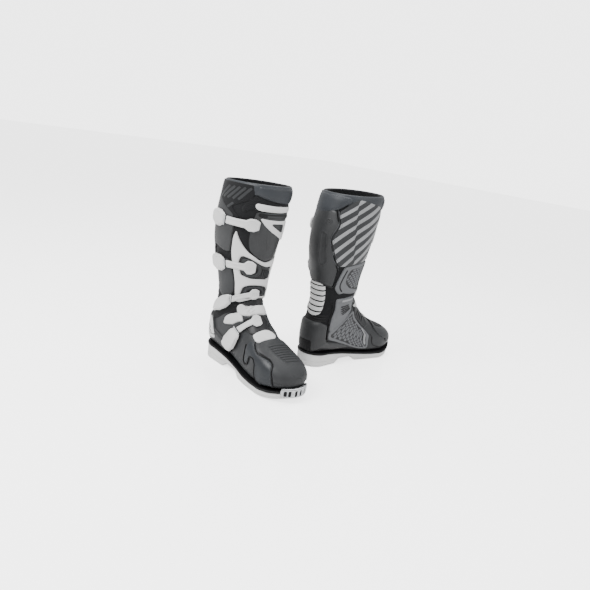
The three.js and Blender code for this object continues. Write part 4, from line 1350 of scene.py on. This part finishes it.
floor_mesh = bpy.data.meshes.new("floor")
floor_mesh.from_pydata([(-12, -12, 0), (12, -12, 0), (12, 12, 0), (-12, 12, 0)], [], [(0, 1, 2, 3)])
floor = bpy.data.objects.new("floor", floor_mesh)
floor.location = (0, 0, -0.0003)
bpy.context.scene.collection.objects.link(floor)
floor_look, nodes, links, bsdf = principled("floor_gloss", (0.92, 0.92, 0.92), 0.16,
    Specular_IOR_Level=0.6)
seen = nodes.new("ShaderNodeLightPath")
glow = nodes.new("ShaderNodeMath")
glow.operation = "MULTIPLY"
glow.inputs[1].default_value = 2.2
links.new(seen.outputs["Is Camera Ray"], glow.inputs[0])
bsdf.inputs["Emission Color"].default_value = (1, 1, 1, 1)
links.new(glow.outputs[0], bsdf.inputs["Emission Strength"])
floor_mesh.materials.append(floor_look)
floor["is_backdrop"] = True

world = bpy.data.worlds.new("studio")
world.use_nodes = True
nodes, links = world.node_tree.nodes, world.node_tree.links
seen = nodes.new("ShaderNodeLightPath")
sky = nodes.new("ShaderNodeMapRange")
sky.inputs["To Min"].default_value = 1.15
sky.inputs["To Max"].default_value = 3.9
links.new(seen.outputs["Is Camera Ray"], sky.inputs["Value"])
nodes["Background"].inputs["Color"].default_value = (1, 1, 1, 1)
links.new(sky.outputs["Result"], nodes["Background"].inputs["Strength"])
bpy.context.scene.world = world


def lamp(name, where, target, power, size):
    data = bpy.data.lights.new(name, "AREA")
    data.energy, data.size = power, size
    obj = bpy.data.objects.new(name, data)
    obj.location = where
    obj.rotation_euler = (Vector(target) - Vector(where)).to_track_quat("-Z", "Y").to_euler()
    bpy.context.scene.collection.objects.link(obj)


AZIMUTH = math.radians(44.3)
RIGHT = Vector((math.cos(AZIMUTH), -math.sin(AZIMUTH), 0))
AWAY = Vector((math.sin(AZIMUTH), math.cos(AZIMUTH), 0))
UP = Vector((0, 0, 1))
toe_point = Vector(BOOTS[0].world(np.array([0.0, 150.0, 0.0])))
SENSOR = 36
DISTANCE, ASIDE, HEIGHT = 1.255, 0.079, 0.545
PITCH, ROLL = 15.2, 9.0
FOCAL = 573 / 590 * SENSOR
eye = toe_point + RIGHT * ASIDE - AWAY * DISTANCE
eye.z = HEIGHT
middle = Vector((0, 0, 0.2))
lamp("key", middle + RIGHT * -1.3 - AWAY * 1.1 + UP * 1.6, middle, 62, 1.0)
lamp("fill", middle + RIGHT * 1.6 - AWAY * 0.9 + UP * 1.0, middle, 18, 1.6)
lamp("top", middle + UP * 1.9 + AWAY * 0.4, middle, 34, 1.4)

camera_data = bpy.data.cameras.new("camera")
camera_data.lens = FOCAL
camera_data.sensor_width = SENSOR
camera = bpy.data.objects.new("camera", camera_data)
camera.location = eye
aim = AWAY * math.cos(math.radians(PITCH)) - UP * math.sin(math.radians(PITCH))
camera.rotation_euler = (aim.to_track_quat("-Z", "Y") @ Quaternion((0, 0, 1),
    math.radians(ROLL))).to_euler()
bpy.context.scene.collection.objects.link(camera)
bpy.context.scene.camera = camera

low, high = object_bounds()
